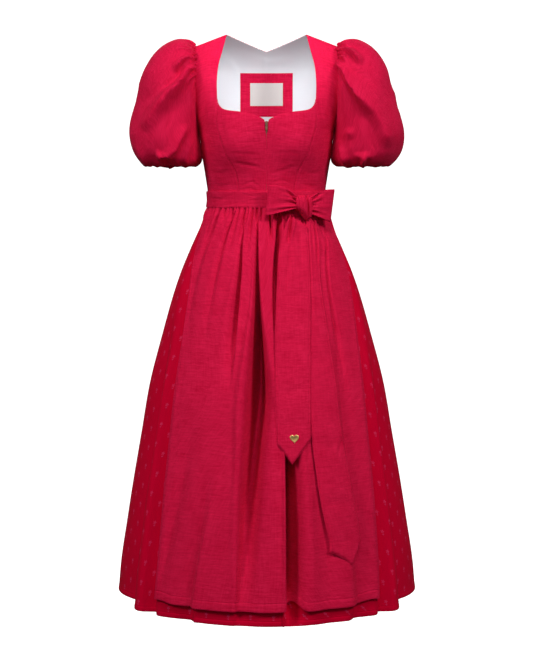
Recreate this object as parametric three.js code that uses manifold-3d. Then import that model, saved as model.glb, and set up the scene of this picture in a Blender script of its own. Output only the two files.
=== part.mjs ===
// A dirndl: a dress with a fitted zip bodice, puff sleeves and a gathered skirt, worn with
// an apron that is tied in a bow at the side.
// Millimetres. +Z is up, the front is -Y and the wearer's left is +X.
// Heights in every table are measured from the waist seam. Angles run from the centre
// front towards the wearer's left. The whole dress is lowered at the end, so that the
// origin lies between the two shoulder seams, where the wearer's shoulders hold it.
import * as THREE from 'three';
import Module from 'manifold-3d';
import { mergeVertices } from 'three/addons/utils/BufferGeometryUtils.js';

// ---------------------------------------------------------------- driving sizes
const SHOULDER_MIDDLE = 358;
const SEAM = 0.3;
const LINEN = 1.5;
const SKIRT_CLOTH = 1.2;
const APRON_CLOTH = 1.2;
const SLEEVE_CLOTH = 1.2;
const LINING_CLOTH = 1;
const BAND_CLOTH = 2.4;
const RIBBON_CLOTH = 1.4;
const TAPE_CLOTH = 1;

const UNDERARM = 155;
const NECK_CORNER = 202;
const SLOPE_START = 300;
const TOP_ROW = 372;
const BODICE_ROUNDNESS = 2.3;
const NECK_POINT = 89;
const SHOULDER_SLOPE = 0.384;
const BACK_V_BOTTOM = 340;

// Half width, and depth to the front and back, of the bodice at each height.
const BODICE_SECTIONS = [
  { height: 0, halfWidth: 130.5, front: 93, back: 90 },
  { height: 20, halfWidth: 132, front: 94, back: 91 },
  { height: 60, halfWidth: 138, front: 98, back: 94 },
  { height: 100, halfWidth: 144.5, front: 105, back: 98 },
  { height: 140, halfWidth: 150, front: 110, back: 102 },
  { height: 155, halfWidth: 152.5, front: 111, back: 103 },
  { height: 180, halfWidth: 163, front: 110, back: 105 },
  { height: 220, halfWidth: 178, front: 99, back: 107 },
  { height: 260, halfWidth: 188, front: 82, back: 106 },
  { height: 300, halfWidth: 194, front: 61, back: 98 },
  { height: 325, halfWidth: 197, front: 44, back: 82 },
  { height: 345, halfWidth: 199, front: 28, back: 60 },
  { height: 360, halfWidth: 200, front: 15, back: 33 },
  { height: 368, halfWidth: 200, front: 7.5, back: 14 },
  { height: 372, halfWidth: 200, front: 0.3, back: 0.3 },
];

// The two cups that the princess seams shape.
const CUP = { across: 72, height: 118, fullness: 17, spreadAcross: 44, spreadUp: 48 };

// How far from the centre front the closing edge, the princess seam, the neckline's
// side edge and the armhole seam lie.
const CLOSING_EDGE = [
  { height: 0, out: 0.5 },
  { height: 140, out: 0.5 },
  { height: 149, out: 2.2 },
  { height: 157, out: 2.9 },
  { height: 166, out: 3.4 },
  { height: 174, out: 4.7 },
];
const PRINCESS_SEAM = [
  { height: 0, out: 58 },
  { height: 22, out: 60.5 },
  { height: 59, out: 67.5 },
  { height: 76, out: 76 },
  { height: 96, out: 88 },
  { height: 121, out: 97 },
  { height: 150, out: 106 },
  { height: 171, out: 110 },
  { height: 202, out: 107.5 },
];
const NECK_SIDE = [
  { height: 202, out: 107.5 },
  { height: 259, out: 109 },
  { height: 297, out: 106 },
  { height: 337, out: 97 },
  { height: 372, out: 89 },
];
const ARMHOLE = [
  { height: 155, out: 152.5 },
  { height: 180, out: 155 },
  { height: 220, out: 157 },
  { height: 280, out: 159 },
  { height: 330, out: 161 },
  { height: 372, out: 162 },
];
// Top edge of the centre fronts, from the closing to the corner below the strap.
const NECK_FRONT = [
  { out: 0, height: 174 },
  { out: 8, height: 179 },
  { out: 28, height: 187 },
  { out: 58, height: 193 },
  { out: 95, height: 197 },
  { out: 107.5, height: 202 },
];

const SIDE_ROWS = [0, 34, 68, 98, 127, 155, 161, 178, 202, 235, 270, 300, 325, 345, 360, 372];
const CENTRE_ROW_COUNT = SIDE_ROWS.indexOf(NECK_CORNER);
const BACK_ROWS = [
  0, 34, 68, 98, 127, 155, 161, 175, 193, 218, 245, 271, 294, 318, 338, 354, 365, 372,
];
const LINING_FIRST_ROW = 4;

const PATCH = { halfWidth: 61, firstRow: 8, lastRow: 12 };
const LABEL = { halfWidth: 38, firstRow: 9, lastRow: 11 };

// Each sleeve ring crosses from a point on the inner side to one on the outer side.
const SLEEVE_RINGS = [
  { innerX: 152.5, innerZ: 155, outerX: 162, outerZ: 344, depth: 62, gather: 0 },
  { innerX: 156, innerZ: 146, outerX: 176, outerZ: 356, depth: 72, gather: 2.5 },
  { innerX: 157, innerZ: 136, outerX: 204, outerZ: 358, depth: 82, gather: 3 },
  { innerX: 156, innerZ: 126, outerX: 240, outerZ: 337, depth: 90, gather: 2 },
  { innerX: 153, innerZ: 117, outerX: 268, outerZ: 297, depth: 95, gather: 1 },
  { innerX: 149, innerZ: 108, outerX: 283, outerZ: 241, depth: 98, gather: 0 },
  { innerX: 147, innerZ: 101, outerX: 301, outerZ: 190, depth: 99, gather: 0 },
  { innerX: 146, innerZ: 94, outerX: 308, outerZ: 148, depth: 97, gather: 1 },
  { innerX: 148, innerZ: 84, outerX: 299, outerZ: 108, depth: 90, gather: 2 },
  { innerX: 157, innerZ: 77, outerX: 276, outerZ: 79, depth: 70, gather: 2 },
  { innerX: 160, innerZ: 81, outerX: 266, outerZ: 81, depth: 53, gather: 1 },
  { innerX: 166, innerZ: 97, outerX: 258, outerZ: 97, depth: 46, gather: 0 },
];
const SLEEVE_GAP = 0.4;
const CUFF = { centre: 212, radius: 46, bottom: 83, top: 94.7, columns: 20 };

// Half width, and depth to the front and back, of the skirt at each height.
const SKIRT_SECTIONS = [
  { height: -876, halfWidth: 336, front: 290, back: 282, roundness: 2, gather: 0 },
  { height: -804, halfWidth: 329, front: 283, back: 275, roundness: 2, gather: 0 },
  { height: -722, halfWidth: 316, front: 273, back: 265, roundness: 2, gather: 0 },
  { height: -629, halfWidth: 301, front: 260, back: 252, roundness: 2, gather: 0 },
  { height: -520, halfWidth: 282, front: 240, back: 234, roundness: 2, gather: 0 },
  { height: -405, halfWidth: 262, front: 217, back: 213, roundness: 2, gather: 0 },
  { height: -294, halfWidth: 233, front: 189, back: 187, roundness: 2, gather: 0.5 },
  { height: -213, halfWidth: 210, front: 166, back: 165, roundness: 2.05, gather: 2 },
  { height: -160, halfWidth: 192, front: 150, back: 149, roundness: 2.1, gather: 3 },
  { height: -107, halfWidth: 170, front: 132, back: 130, roundness: 2.15, gather: 4 },
  { height: -55, halfWidth: 147, front: 112, back: 110, roundness: 2.2, gather: 4 },
  { height: -16, halfWidth: 133, front: 95.5, back: 92.5, roundness: 2.3, gather: 1 },
  { height: 0, halfWidth: 130.5, front: 93, back: 90, roundness: 2.3, gather: 0 },
];
const SKIRT_ROWS = [-876, -780, -640, -490, -350, -230, -135, -65, -16, -SEAM];
const APRON_TOP_ROW = 8;
const APRON_HEM_FROM_SKIRT_HEM = 31;
const FRONT_COLUMNS = 28;
const SIDE_COLUMNS = 10;
const BACK_COLUMNS = 16;
const BACK_PANEL_EDGE = 132;
const GATHER_PERIOD = 9;

// Angles of the apron's two side edges; the skirt's front panel ends under them.
const APRON_EDGES = [
  { height: -876, right: -48.5, left: 49 },
  { height: -846, right: -49, left: 49.5 },
  { height: -768, right: -49, left: 51.5 },
  { height: -650, right: -50, left: 53 },
  { height: -527, right: -51.5, left: 55 },
  { height: -390, right: -53.5, left: 58 },
  { height: -228, right: -58, left: 65 },
  { height: -170, right: -61, left: 69 },
  { height: -100, right: -68, left: 74 },
  { height: -35, right: -79, left: 81 },
  { height: 0, right: -86, left: 87 },
];

// Folds that hang as troughs between crests: angle, half width in degrees, and the
// trough's depth where it starts to show, half way and at the hem.
const FOLDS = [
  { angle: -7.5, width: 4.2, start: -50, high: 26, low: 34, hem: 10 },
  { angle: -20.5, width: 4.5, start: -40, high: 16, low: 6, hem: 3 },
  { angle: 11, width: 4, start: -330, high: 5, low: 18, hem: 14 },
  { angle: -34, width: 5, start: -60, high: 9, low: 8, hem: 5 },
  { angle: 27, width: 5, start: -90, high: 8, low: 10, hem: 5 },
  { angle: 40, width: 5, start: -60, high: 9, low: 9, hem: 6 },
  { angle: -71, width: 7, start: -250, high: 14, low: 28, hem: 38 },
  { angle: 71, width: 7, start: -250, high: 14, low: 28, hem: 38 },
  { angle: 104, width: 8, start: -120, high: 12, low: 20, hem: 26 },
  { angle: -107, width: 8, start: -150, high: 10, low: 22, hem: 30 },
  { angle: 133, width: 8, start: -90, high: 16, low: 26, hem: 32 },
  { angle: -138, width: 9, start: -100, high: 14, low: 24, hem: 28 },
  { angle: 160, width: 7, start: -80, high: 15, low: 24, hem: 30 },
  { angle: -170, width: 8, start: -80, high: 18, low: 28, hem: 34 },
];
const FOLD_MIDDLE = -480;

const APRON_LIFT = 3.4;
const APRON_TOP_LIFT = 0.6;
const APRON_TOP_GAP = 1.2;
// Places where the apron's hem rides up.
const HEM_LIFTS = [
  { angle: 10.8, width: 3, lift: 22 },
  { angle: -40, width: 5, lift: 6 },
];

// The band and the tie meet at the side seams, a small angle apart.
const BAND = { bottom: -15.9, top: 20, proud: 3.6, edge: 90, endGap: 0.1 };
const BAND_COLUMNS = 22;

// The bow sits on the band, on the wearer's left of the centre.
const KNOT = {
  x: 78, y: -103.3, z: -12, turn: 22, halfLength: 14, endHalfHeight: 21, endHalfDepth: 10.9,
  swellHeight: 2, swellDepth: 3, squareness: 0.55, cloth: 2.4,
};
// How far the loops start from the knot's middle, and how full their back is.
const LOOP_START = 11;
const LOOP_BACK_SHARE = 0.5;
const INNER_LOOP = {
  turn: 193, reach: 70, fullness: 11, startRise: 5, startHeight: 19, endHeight: 71, endRise: 7,
};
const OUTER_LOOP = {
  turn: 22, reach: 64, fullness: 11, startRise: 0, startHeight: 24, endHeight: 72, endRise: -1,
};

// Ribbon tails: distance of both edges from the centre front, and how far the cloth
// lies outside the skirt's own surface.
const FRONT_TAIL = [
  { height: -505, near: 21.5, far: 93.5, out: 9 },
  { height: -377, near: 17, far: 95.6, out: 9 },
  { height: -307, near: 18.3, far: 96, out: 9 },
  { height: -227, near: 20, far: 96.6, out: 9 },
  { height: -175, near: 23, far: 96.5, out: 9 },
  { height: -120, near: 26, far: 95, out: 9 },
  { height: -78, near: 35, far: 92, out: 9.5 },
  { height: -53, near: 44, far: 88, out: 12 },
  { height: -38.4, near: 62, far: 82, out: 14 },
];
const FRONT_TAIL_END = { nearCorner: -505, farCorner: -497, tip: -548, tipAt: 0.45 };
const SIDE_TAIL = [
  { height: -710, near: 127, far: 192, out: 6.3 },
  { height: -630, near: 113, far: 184, out: 6.3 },
  { height: -544, near: 101, far: 171, out: 6.3 },
  { height: -468, near: 92, far: 158, out: 6.3 },
  { height: -379, near: 82, far: 149, out: 6.3 },
  { height: -257, near: 68, far: 131, out: 6.3 },
  { height: -175, near: 62, far: 119.5, out: 6.3 },
  { height: -95, near: 70, far: 116.6, out: 6.3 },
  { height: -39.5, near: 78, far: 109, out: 7.5 },
];
const SIDE_TAIL_END = { nearCorner: -725, farCorner: -708, tip: -752, tipAt: 0.7 };
const TAIL_COLUMNS = 4;
const TAIL_ROWS = 10;

const CHARM = { x: 58, z: -497, width: 19, height: 18, thickness: 1.6 };

const TAPE = { halfWidth: 11, bottom: 2, top: 170 };
const TAPE_GAP = 1.2;
const SLIDER = { z: 166.5, width: 5, height: 8.5, depth: 3.2, corner: 1.2 };
const BRIDGE = { width: 1.2, height: 7, bar: 1, rise: 3.3 };
// The pull tab's upper bar lies under the slider's bridge, and the tab turns about it.
const PULL = {
  width: 4.4, length: 15, corner: 1.6, bar: 0.9, holeWidth: 2.3, holeLength: 4.8, standOff: 1.2,
};

const DEGREE = Math.PI / 180;

// ---------------------------------------------------------------- materials
function cloth(colour, roughness) {
  return new THREE.MeshStandardMaterial({ color: colour, roughness, metalness: 0 });
}
const linen = cloth(0xcd1f48, 0.85);
const skirtCotton = cloth(0xbe0a36, 0.75);
const liningCotton = cloth(0xd0d0d5, 0.9);
const labelSatin = cloth(0xe8e4e2, 0.6);
const zipTapeCloth = cloth(0xa81838, 0.85);
const bronze = new THREE.MeshStandardMaterial({ color: 0x5a4030, roughness: 0.35, metalness: 1 });
const gold = new THREE.MeshStandardMaterial({ color: 0xc8a05a, roughness: 0.3, metalness: 1 });

// ---------------------------------------------------------------- tables and grids
// Smooth value of a table's column at a key such as height.
function lookUp(rows, column, at, key = 'height') {
  let upper = 1;
  while (upper < rows.length - 1 && rows[upper][key] < at) {
    upper += 1;
  }
  const low = rows[upper - 1];
  const high = rows[upper];
  const before = rows[upper - 2] ?? low;
  const after = rows[upper + 1] ?? high;
  const span = high[key] - low[key];
  const t = THREE.MathUtils.clamp((at - low[key]) / span, 0, 1);
  const slopeLow = ((high[column] - before[column]) / (high[key] - before[key])) * span;
  const slopeHigh = ((after[column] - low[column]) / (after[key] - low[key])) * span;
  const t2 = t * t;
  const t3 = t2 * t;
  return (2 * t3 - 3 * t2 + 1) * low[column]
    + (t3 - 2 * t2 + t) * slopeLow
    + (3 * t2 - 2 * t3) * high[column]
    + (t3 - t2) * slopeHigh;
}

function mix(from, to, share) {
  return from + (to - from) * share;
}

// grid[row][column]; rows run upwards and columns from the wearer's right to the left,
// so that columns crossed with rows point out of the cloth.
function makeGrid(columnCount, rowCount, pointAt) {
  const grid = [];
  for (let row = 0; row <= rowCount; row += 1) {
    const line = [];
    for (let column = 0; column <= columnCount; column += 1) {
      line.push(pointAt(column / columnCount, row / rowCount, column, row));
    }
    grid.push(line);
  }
  return grid;
}

function facingBetween(previous, next, below, above) {
  const along = new THREE.Vector3().subVectors(next, previous);
  const up = new THREE.Vector3().subVectors(above, below);
  return along.cross(up).normalize();
}

// A point of a smooth form that keeps the form's own facing there, so that two panels
// that meet at a seam have the same edge.
function facedPoint(form, angle, height, angleStep) {
  const point = form(angle, height);
  point.facing = facingBetween(
    form(angle - angleStep, height),
    form(angle + angleStep, height),
    form(angle, height - 1),
    form(angle, height + 1),
  );
  return point;
}

// The same grid moved out along its facings; distance may differ from row to row.
function movedOut(grid, distance, closed = false) {
  const last = grid[0].length - 1;
  return grid.map((line, row) => line.map((point, column) => {
    const onSeam = closed && (column === 0 || column === last);
    const facing = point.facing ?? facingBetween(
      line[onSeam ? last - 1 : Math.max(column - 1, 0)],
      line[onSeam ? 1 : Math.min(column + 1, last)],
      grid[Math.max(row - 1, 0)][column],
      grid[Math.min(row + 1, grid.length - 1)][column],
    );
    const step = typeof distance === 'function' ? distance(row, column) : distance;
    const moved = point.clone().addScaledVector(facing, step);
    moved.facing = facing;
    return moved;
  }));
}

// Closed wall between an outer and an inner grid, with a rim along every free edge.
function wall(outer, inner, closed = false) {
  const rowCount = outer.length - 1;
  const columnCount = outer[0].length - 1;
  const width = closed ? columnCount : columnCount + 1;
  const points = [];
  [outer, inner].forEach((grid) => {
    grid.forEach((line) => {
      for (let column = 0; column < width; column += 1) {
        points.push(...line[column].toArray());
      }
    });
  });
  const innerStart = (rowCount + 1) * width;
  const indices = [];
  const number = (column, row) => row * width + (column % width);
  const quad = (a, b, c, d) => indices.push(a, b, c, a, c, d);
  for (let row = 0; row < rowCount; row += 1) {
    for (let column = 0; column < columnCount; column += 1) {
      const a = number(column, row);
      const b = number(column + 1, row);
      const c = number(column + 1, row + 1);
      const d = number(column, row + 1);
      quad(a, b, c, d);
      quad(a + innerStart, d + innerStart, c + innerStart, b + innerStart);
    }
  }
  for (let column = 0; column < columnCount; column += 1) {
    const bottomA = number(column, 0);
    const bottomB = number(column + 1, 0);
    quad(bottomA, bottomA + innerStart, bottomB + innerStart, bottomB);
    const topA = number(column, rowCount);
    const topB = number(column + 1, rowCount);
    quad(topA, topB, topB + innerStart, topA + innerStart);
  }
  for (let row = 0; row < rowCount && !closed; row += 1) {
    const startA = number(0, row);
    const startB = number(0, row + 1);
    quad(startA, startB, startB + innerStart, startA + innerStart);
    const endA = number(columnCount, row);
    const endB = number(columnCount, row + 1);
    quad(endA, endA + innerStart, endB + innerStart, endB);
  }
  const geometry = new THREE.BufferGeometry();
  geometry.setAttribute('position', new THREE.Float32BufferAttribute(points, 3));
  geometry.setIndex(indices);
  return geometry;
}

// Cloth whose outer face is the grid.
function clothFrom(grid, thickness, closed = false) {
  return wall(grid, movedOut(grid, -thickness, closed), closed);
}

// The same piece for the other side of the body.
function mirrored(geometry) {
  const copy = geometry.clone();
  copy.scale(-1, 1, 1);
  const index = copy.index.array;
  for (let i = 0; i < index.length; i += 3) {
    const swap = index[i + 1];
    index[i + 1] = index[i + 2];
    index[i + 2] = swap;
  }
  return copy;
}

const dirndl = new THREE.Group();
dirndl.position.z = -SHOULDER_MIDDLE;

function add(name, geometry, material) {
  const mesh = new THREE.Mesh(geometry, material);
  mesh.name = name;
  dirndl.add(mesh);
}

// ---------------------------------------------------------------- bodice form
function sectionRadius(angle, halfWidth, depth, roundness) {
  const across = Math.abs(Math.sin(angle)) / halfWidth;
  const along = Math.abs(Math.cos(angle)) / depth;
  return (across ** roundness + along ** roundness) ** (-1 / roundness);
}

function bodiceDepth(x, row, side) {
  const halfWidth = lookUp(BODICE_SECTIONS, 'halfWidth', row);
  const share = Math.min(Math.abs(x) / halfWidth, 1);
  const left = 1 - share ** BODICE_ROUNDNESS;
  return lookUp(BODICE_SECTIONS, side, row) * left ** (1 / BODICE_ROUNDNESS);
}

function cupFullness(x, height) {
  const across = (Math.abs(x) - CUP.across) / CUP.spreadAcross;
  const up = (height - CUP.height) / CUP.spreadUp;
  return CUP.fullness * Math.exp(-across * across - up * up);
}

// The top edge at a distance from the centre: the shoulder seam, or the back's V neck.
function topEdge(x, side) {
  const out = Math.abs(x);
  const onV = side === 'back' && out < NECK_POINT;
  const row = onV ? mix(BACK_V_BOTTOM, TOP_ROW, out / NECK_POINT) : TOP_ROW;
  const drop = Math.max(out - NECK_POINT, 0) * SHOULDER_SLOPE;
  return { row, height: row - drop };
}

function bodiceForm(angle, row) {
  const side = Math.cos(angle) < 0 ? 'back' : 'front';
  const halfWidth = lookUp(BODICE_SECTIONS, 'halfWidth', row);
  const depth = lookUp(BODICE_SECTIONS, side, row);
  const x = sectionRadius(angle, halfWidth, depth, BODICE_ROUNDNESS) * Math.sin(angle);
  if (row <= SLOPE_START) {
    const y = bodiceDepth(x, row, side);
    return new THREE.Vector3(x, side === 'back' ? y : -y - cupFullness(x, row), row);
  }
  const edge = topEdge(x, side);
  const share = (row - SLOPE_START) / (TOP_ROW - SLOPE_START);
  const y = bodiceDepth(x, mix(SLOPE_START, edge.row, share), side);
  return new THREE.Vector3(x, side === 'back' ? y : -y, mix(SLOPE_START, edge.height, share));
}

function bodicePoint(angle, row) {
  return facedPoint(bodiceForm, angle, row, DEGREE);
}

// The angle at which the bodice is this far from the centre line.
function angleAt(x, row, side) {
  const angle = Math.atan2(x, bodiceDepth(x, row, side));
  return side === 'back' ? Math.PI - angle : angle;
}

function outerEdgeAngle(row, side) {
  if (row <= UNDERARM) {
    const gap = SEAM / 2 / lookUp(BODICE_SECTIONS, 'halfWidth', row);
    return side === 'back' ? Math.PI / 2 + gap : Math.PI / 2 - gap;
  }
  return angleAt(lookUp(ARMHOLE, 'out', row), row, side);
}

// ---------------------------------------------------------------- bodice pieces
function centreFront() {
  const grid = makeGrid(6, CENTRE_ROW_COUNT, (across, up, column, rowNumber) => {
    const topOut = mix(0, NECK_FRONT.at(-1).out, across);
    const top = lookUp(NECK_FRONT, 'height', topOut, 'out');
    const height = Math.max(top * SIDE_ROWS[rowNumber] / NECK_CORNER, SEAM / 2);
    const from = lookUp(CLOSING_EDGE, 'out', height);
    const to = lookUp(PRINCESS_SEAM, 'out', height) - SEAM / 2;
    return bodicePoint(angleAt(mix(from, to, across), height, 'front'), height);
  });
  return clothFrom(grid, LINEN);
}

function sideFront() {
  const grid = makeGrid(5, SIDE_ROWS.length - 1, (across, up, column, rowNumber) => {
    const row = Math.max(SIDE_ROWS[rowNumber], SEAM / 2);
    const seam = row < NECK_CORNER ? PRINCESS_SEAM : NECK_SIDE;
    const inner = angleAt(lookUp(seam, 'out', row) + SEAM / 2, row, 'front');
    return bodicePoint(mix(inner, outerEdgeAngle(row, 'front'), across), row);
  });
  return clothFrom(grid, LINEN);
}

// Columns of the back, so that the label's and the patch's edges fall on columns.
function backColumns(row) {
  const edge = outerEdgeAngle(row, 'back');
  const patch = angleAt(PATCH.halfWidth, row, 'back');
  const label = angleAt(LABEL.halfWidth, row, 'back');
  const half = [edge, mix(edge, patch, 0.25), mix(edge, patch, 0.6), patch, label];
  const other = half.map((angle) => 2 * Math.PI - angle).reverse();
  return [...half, Math.PI, ...other];
}
const PATCH_COLUMNS = { first: 3, last: 7 };
const LABEL_COLUMNS = { first: 4, last: 6 };

function backGrid() {
  return makeGrid(10, BACK_ROWS.length - 1, (across, up, column, rowNumber) => {
    const row = Math.max(BACK_ROWS[rowNumber], SEAM / 2);
    return bodicePoint(backColumns(row)[column], row);
  });
}

function block(grid, rows, columns) {
  const lines = grid.slice(rows.firstRow, rows.lastRow + 1);
  return lines.map((line) => line.slice(columns.first, columns.last + 1));
}

function buildBodice() {
  const front = centreFront();
  add('bodice_front_left', front, linen);
  add('bodice_front_right', mirrored(front), linen);
  const side = sideFront();
  add('bodice_side_left', side, linen);
  add('bodice_side_right', mirrored(side), linen);

  const back = backGrid();
  add('bodice_back', clothFrom(back, LINEN), linen);
  const liningOuter = movedOut(back, -LINEN - SEAM);
  const liningInner = movedOut(back, -LINEN - SEAM - LINING_CLOTH);
  const upper = (grid) => grid.slice(LINING_FIRST_ROW);
  add('bodice_lining_back', wall(upper(liningOuter), upper(liningInner)), liningCotton);

  const patchOuter = movedOut(liningInner, -SEAM);
  const patchInner = movedOut(liningInner, -SEAM - LINING_CLOTH);
  const patchWall = wall(block(patchOuter, PATCH, PATCH_COLUMNS), block(patchInner, PATCH, PATCH_COLUMNS));
  add('label_patch', patchWall, linen);
  const labelOuter = block(movedOut(patchInner, -SEAM), LABEL, LABEL_COLUMNS);
  const labelInner = block(movedOut(patchInner, -SEAM - LINING_CLOTH), LABEL, LABEL_COLUMNS);
  add('woven_label', wall(labelOuter, labelInner), labelSatin);
}

// ---------------------------------------------------------------- zip in the closing
function bodiceFrontAt(x, height) {
  return bodicePoint(angleAt(x, height, 'front'), height);
}

function roundedOutline(width, height, corner) {
  const shape = new THREE.Shape();
  const right = width / 2 - corner;
  const top = height / 2 - corner;
  shape.absarc(right, -top, corner, -Math.PI / 2, 0);
  shape.absarc(right, top, corner, 0, Math.PI / 2);
  shape.absarc(-right, top, corner, Math.PI / 2, Math.PI);
  shape.absarc(-right, -top, corner, Math.PI, 1.5 * Math.PI);
  shape.closePath();
  return shape;
}

function rectangle(width, bottom, top) {
  const path = new THREE.Path();
  path.moveTo(-width / 2, bottom);
  path.lineTo(width / 2, bottom);
  path.lineTo(width / 2, top);
  path.lineTo(-width / 2, top);
  path.closePath();
  return path;
}

function extruded(shape, depth) {
  return new THREE.ExtrudeGeometry(shape, { depth, bevelEnabled: false, curveSegments: 4 });
}

// Lays a piece drawn in X and Y, thick along Z, on a point with its Z facing outwards.
function layOn(geometry, point, facing) {
  const up = new THREE.Vector3(0, 0, 1).addScaledVector(facing, -facing.z).normalize();
  const right = new THREE.Vector3().crossVectors(up, facing);
  const place = new THREE.Matrix4().makeBasis(right, up, facing).setPosition(point);
  return geometry.applyMatrix4(place);
}

const wasm = await Module();
wasm.setup();

function solidOf(geometry) {
  const bare = geometry.clone();
  bare.deleteAttribute('normal');
  bare.deleteAttribute('uv');
  const merged = mergeVertices(bare);
  return new wasm.Manifold(new wasm.Mesh({
    numProp: 3,
    vertProperties: new Float32Array(merged.attributes.position.array),
    triVerts: new Uint32Array(merged.index.array),
  }));
}

function joined(first, second) {
  const mesh = solidOf(first).add(solidOf(second)).getMesh();
  const geometry = new THREE.BufferGeometry();
  geometry.setAttribute('position', new THREE.BufferAttribute(mesh.vertProperties, 3));
  geometry.setIndex(new THREE.BufferAttribute(mesh.triVerts, 1));
  return geometry;
}

// The slider's body with the bridge that holds the pull tab, drawn facing along Z.
function zipSlider() {
  const body = extruded(roundedOutline(SLIDER.width, SLIDER.height, SLIDER.corner), SLIDER.depth);
  const root = SLIDER.depth / 2;
  const crown = SLIDER.depth + BRIDGE.rise;
  const half = BRIDGE.height / 2;
  const side = new THREE.Shape();
  side.moveTo(root, -half);
  side.lineTo(crown - BRIDGE.bar / 2, -half);
  side.lineTo(crown, -half + BRIDGE.bar);
  side.lineTo(crown, half - BRIDGE.bar);
  side.lineTo(crown - BRIDGE.bar / 2, half);
  side.lineTo(root, half);
  side.closePath();
  const window = new THREE.Path();
  window.moveTo(SLIDER.depth, -half + BRIDGE.bar);
  window.lineTo(SLIDER.depth, half - BRIDGE.bar);
  window.lineTo(crown - BRIDGE.bar, half - BRIDGE.bar);
  window.lineTo(crown - BRIDGE.bar, -half + BRIDGE.bar);
  window.closePath();
  side.holes.push(window);
  const bridge = extruded(side, BRIDGE.width);
  bridge.translate(0, 0, -BRIDGE.width / 2);
  bridge.rotateY(-Math.PI / 2);
  return joined(body, bridge);
}

// The pull tab hangs from its bar, which lies at the drawing's origin.
function zipPull() {
  const outline = roundedOutline(PULL.width, PULL.length, PULL.corner);
  outline.holes.push(rectangle(
    PULL.holeWidth,
    PULL.length / 2 - PULL.bar - PULL.holeLength,
    PULL.length / 2 - PULL.bar,
  ));
  const tab = extruded(outline, PULL.bar);
  tab.translate(0, (PULL.bar - PULL.length) / 2, -PULL.bar / 2);
  return tab;
}

function buildZip() {
  const tapeOuterGrid = makeGrid(4, CENTRE_ROW_COUNT, (across, up, column, rowNumber) => {
    const besideRow = NECK_FRONT[0].height * SIDE_ROWS[rowNumber] / NECK_CORNER;
    const height = THREE.MathUtils.clamp(besideRow, TAPE.bottom, TAPE.top);
    return bodiceFrontAt(mix(-TAPE.halfWidth, TAPE.halfWidth, across), height);
  });
  const tapeOuter = movedOut(tapeOuterGrid, -LINEN - TAPE_GAP);
  const tapeInner = movedOut(tapeOuterGrid, -LINEN - TAPE_GAP - TAPE_CLOTH);
  add('zip_tape', wall(tapeOuter, tapeInner), zipTapeCloth);

  const forward = new THREE.Vector3(0, -1, 0);
  const seat = bodiceFrontAt(0, SLIDER.z);
  seat.y += LINEN + TAPE_GAP - SEAM;
  add('zip_slider', layOn(zipSlider(), seat, forward), bronze);
  const bar = seat.clone().addScaledVector(forward, SLIDER.depth + PULL.standOff);
  add('zip_pull', layOn(zipPull(), bar, forward), bronze);
}

// ---------------------------------------------------------------- sleeves
// The armhole's edge points, from the shoulder over the front to the underarm and up
// the back: they are the ends of the bodice's own rows.
const aboveUnderarm = (row) => row >= UNDERARM;
const ARMHOLE_ROUND = [
  ...SIDE_ROWS.filter(aboveUnderarm).reverse().map((row) => ({ row, side: 'front' })),
  ...BACK_ROWS.filter(aboveUnderarm).slice(1, -1).map((row) => ({ row, side: 'back' })),
];

function sleevePoint(place, ringNumber, column) {
  const ring = SLEEVE_RINGS[ringNumber];
  if (ringNumber === 0) {
    const out = lookUp(ARMHOLE, 'out', place.row);
    const edge = bodiceForm(angleAt(out, place.row, place.side), place.row);
    return edge.add(new THREE.Vector3(SLEEVE_GAP, 0, 0));
  }
  const share = (place.row - UNDERARM) / (TOP_ROW - UNDERARM);
  const turn = Math.acos(2 * share - 1) * (place.side === 'back' ? -1 : 1);
  const inner = new THREE.Vector3(ring.innerX, 0, ring.innerZ);
  const outer = new THREE.Vector3(ring.outerX, 0, ring.outerZ);
  const middle = inner.clone().lerp(outer, 0.5);
  const half = outer.clone().sub(middle);
  const ripple = column % 2 === 0 ? ring.gather : -ring.gather;
  const size = 1 + ripple / half.length();
  const point = middle.addScaledVector(half, Math.cos(turn) * size);
  point.y -= ring.depth * Math.sin(turn) * size;
  return point;
}

function buildSleeves() {
  const rings = SLEEVE_RINGS.length - 1;
  const columns = ARMHOLE_ROUND.length;
  const grid = makeGrid(columns, rings, (around, along, column, ring) => (
    sleevePoint(ARMHOLE_ROUND[column % columns], ring, column)
  ));
  const sleeve = clothFrom(grid, SLEEVE_CLOTH, true);
  add('sleeve_left', sleeve, linen);
  add('sleeve_right', mirrored(sleeve), linen);

  const bandGrid = makeGrid(CUFF.columns, 1, (around, up) => {
    const turn = around * 2 * Math.PI;
    const x = CUFF.centre + CUFF.radius * Math.sin(turn);
    return new THREE.Vector3(x, -CUFF.radius * Math.cos(turn), mix(CUFF.bottom, CUFF.top, up));
  });
  const band = clothFrom(bandGrid, LINEN, true);
  add('sleeve_band_left', band, linen);
  add('sleeve_band_right', mirrored(band), linen);
}

// ---------------------------------------------------------------- skirt and apron
function foldTrough(angle, height) {
  let trough = 0;
  FOLDS.forEach((fold) => {
    let away = Math.abs(angle - fold.angle);
    away = Math.min(away, 360 - away) / fold.width;
    const grown = THREE.MathUtils.smoothstep(fold.start - height, 0, 110);
    const depth = height > FOLD_MIDDLE
      ? mix(fold.high, fold.low, THREE.MathUtils.clamp(height / FOLD_MIDDLE, 0, 1))
      : mix(fold.low, fold.hem, (height - FOLD_MIDDLE) / (SKIRT_ROWS[0] - FOLD_MIDDLE));
    trough += depth * grown * Math.exp(-away * away);
  });
  return trough;
}

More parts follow.
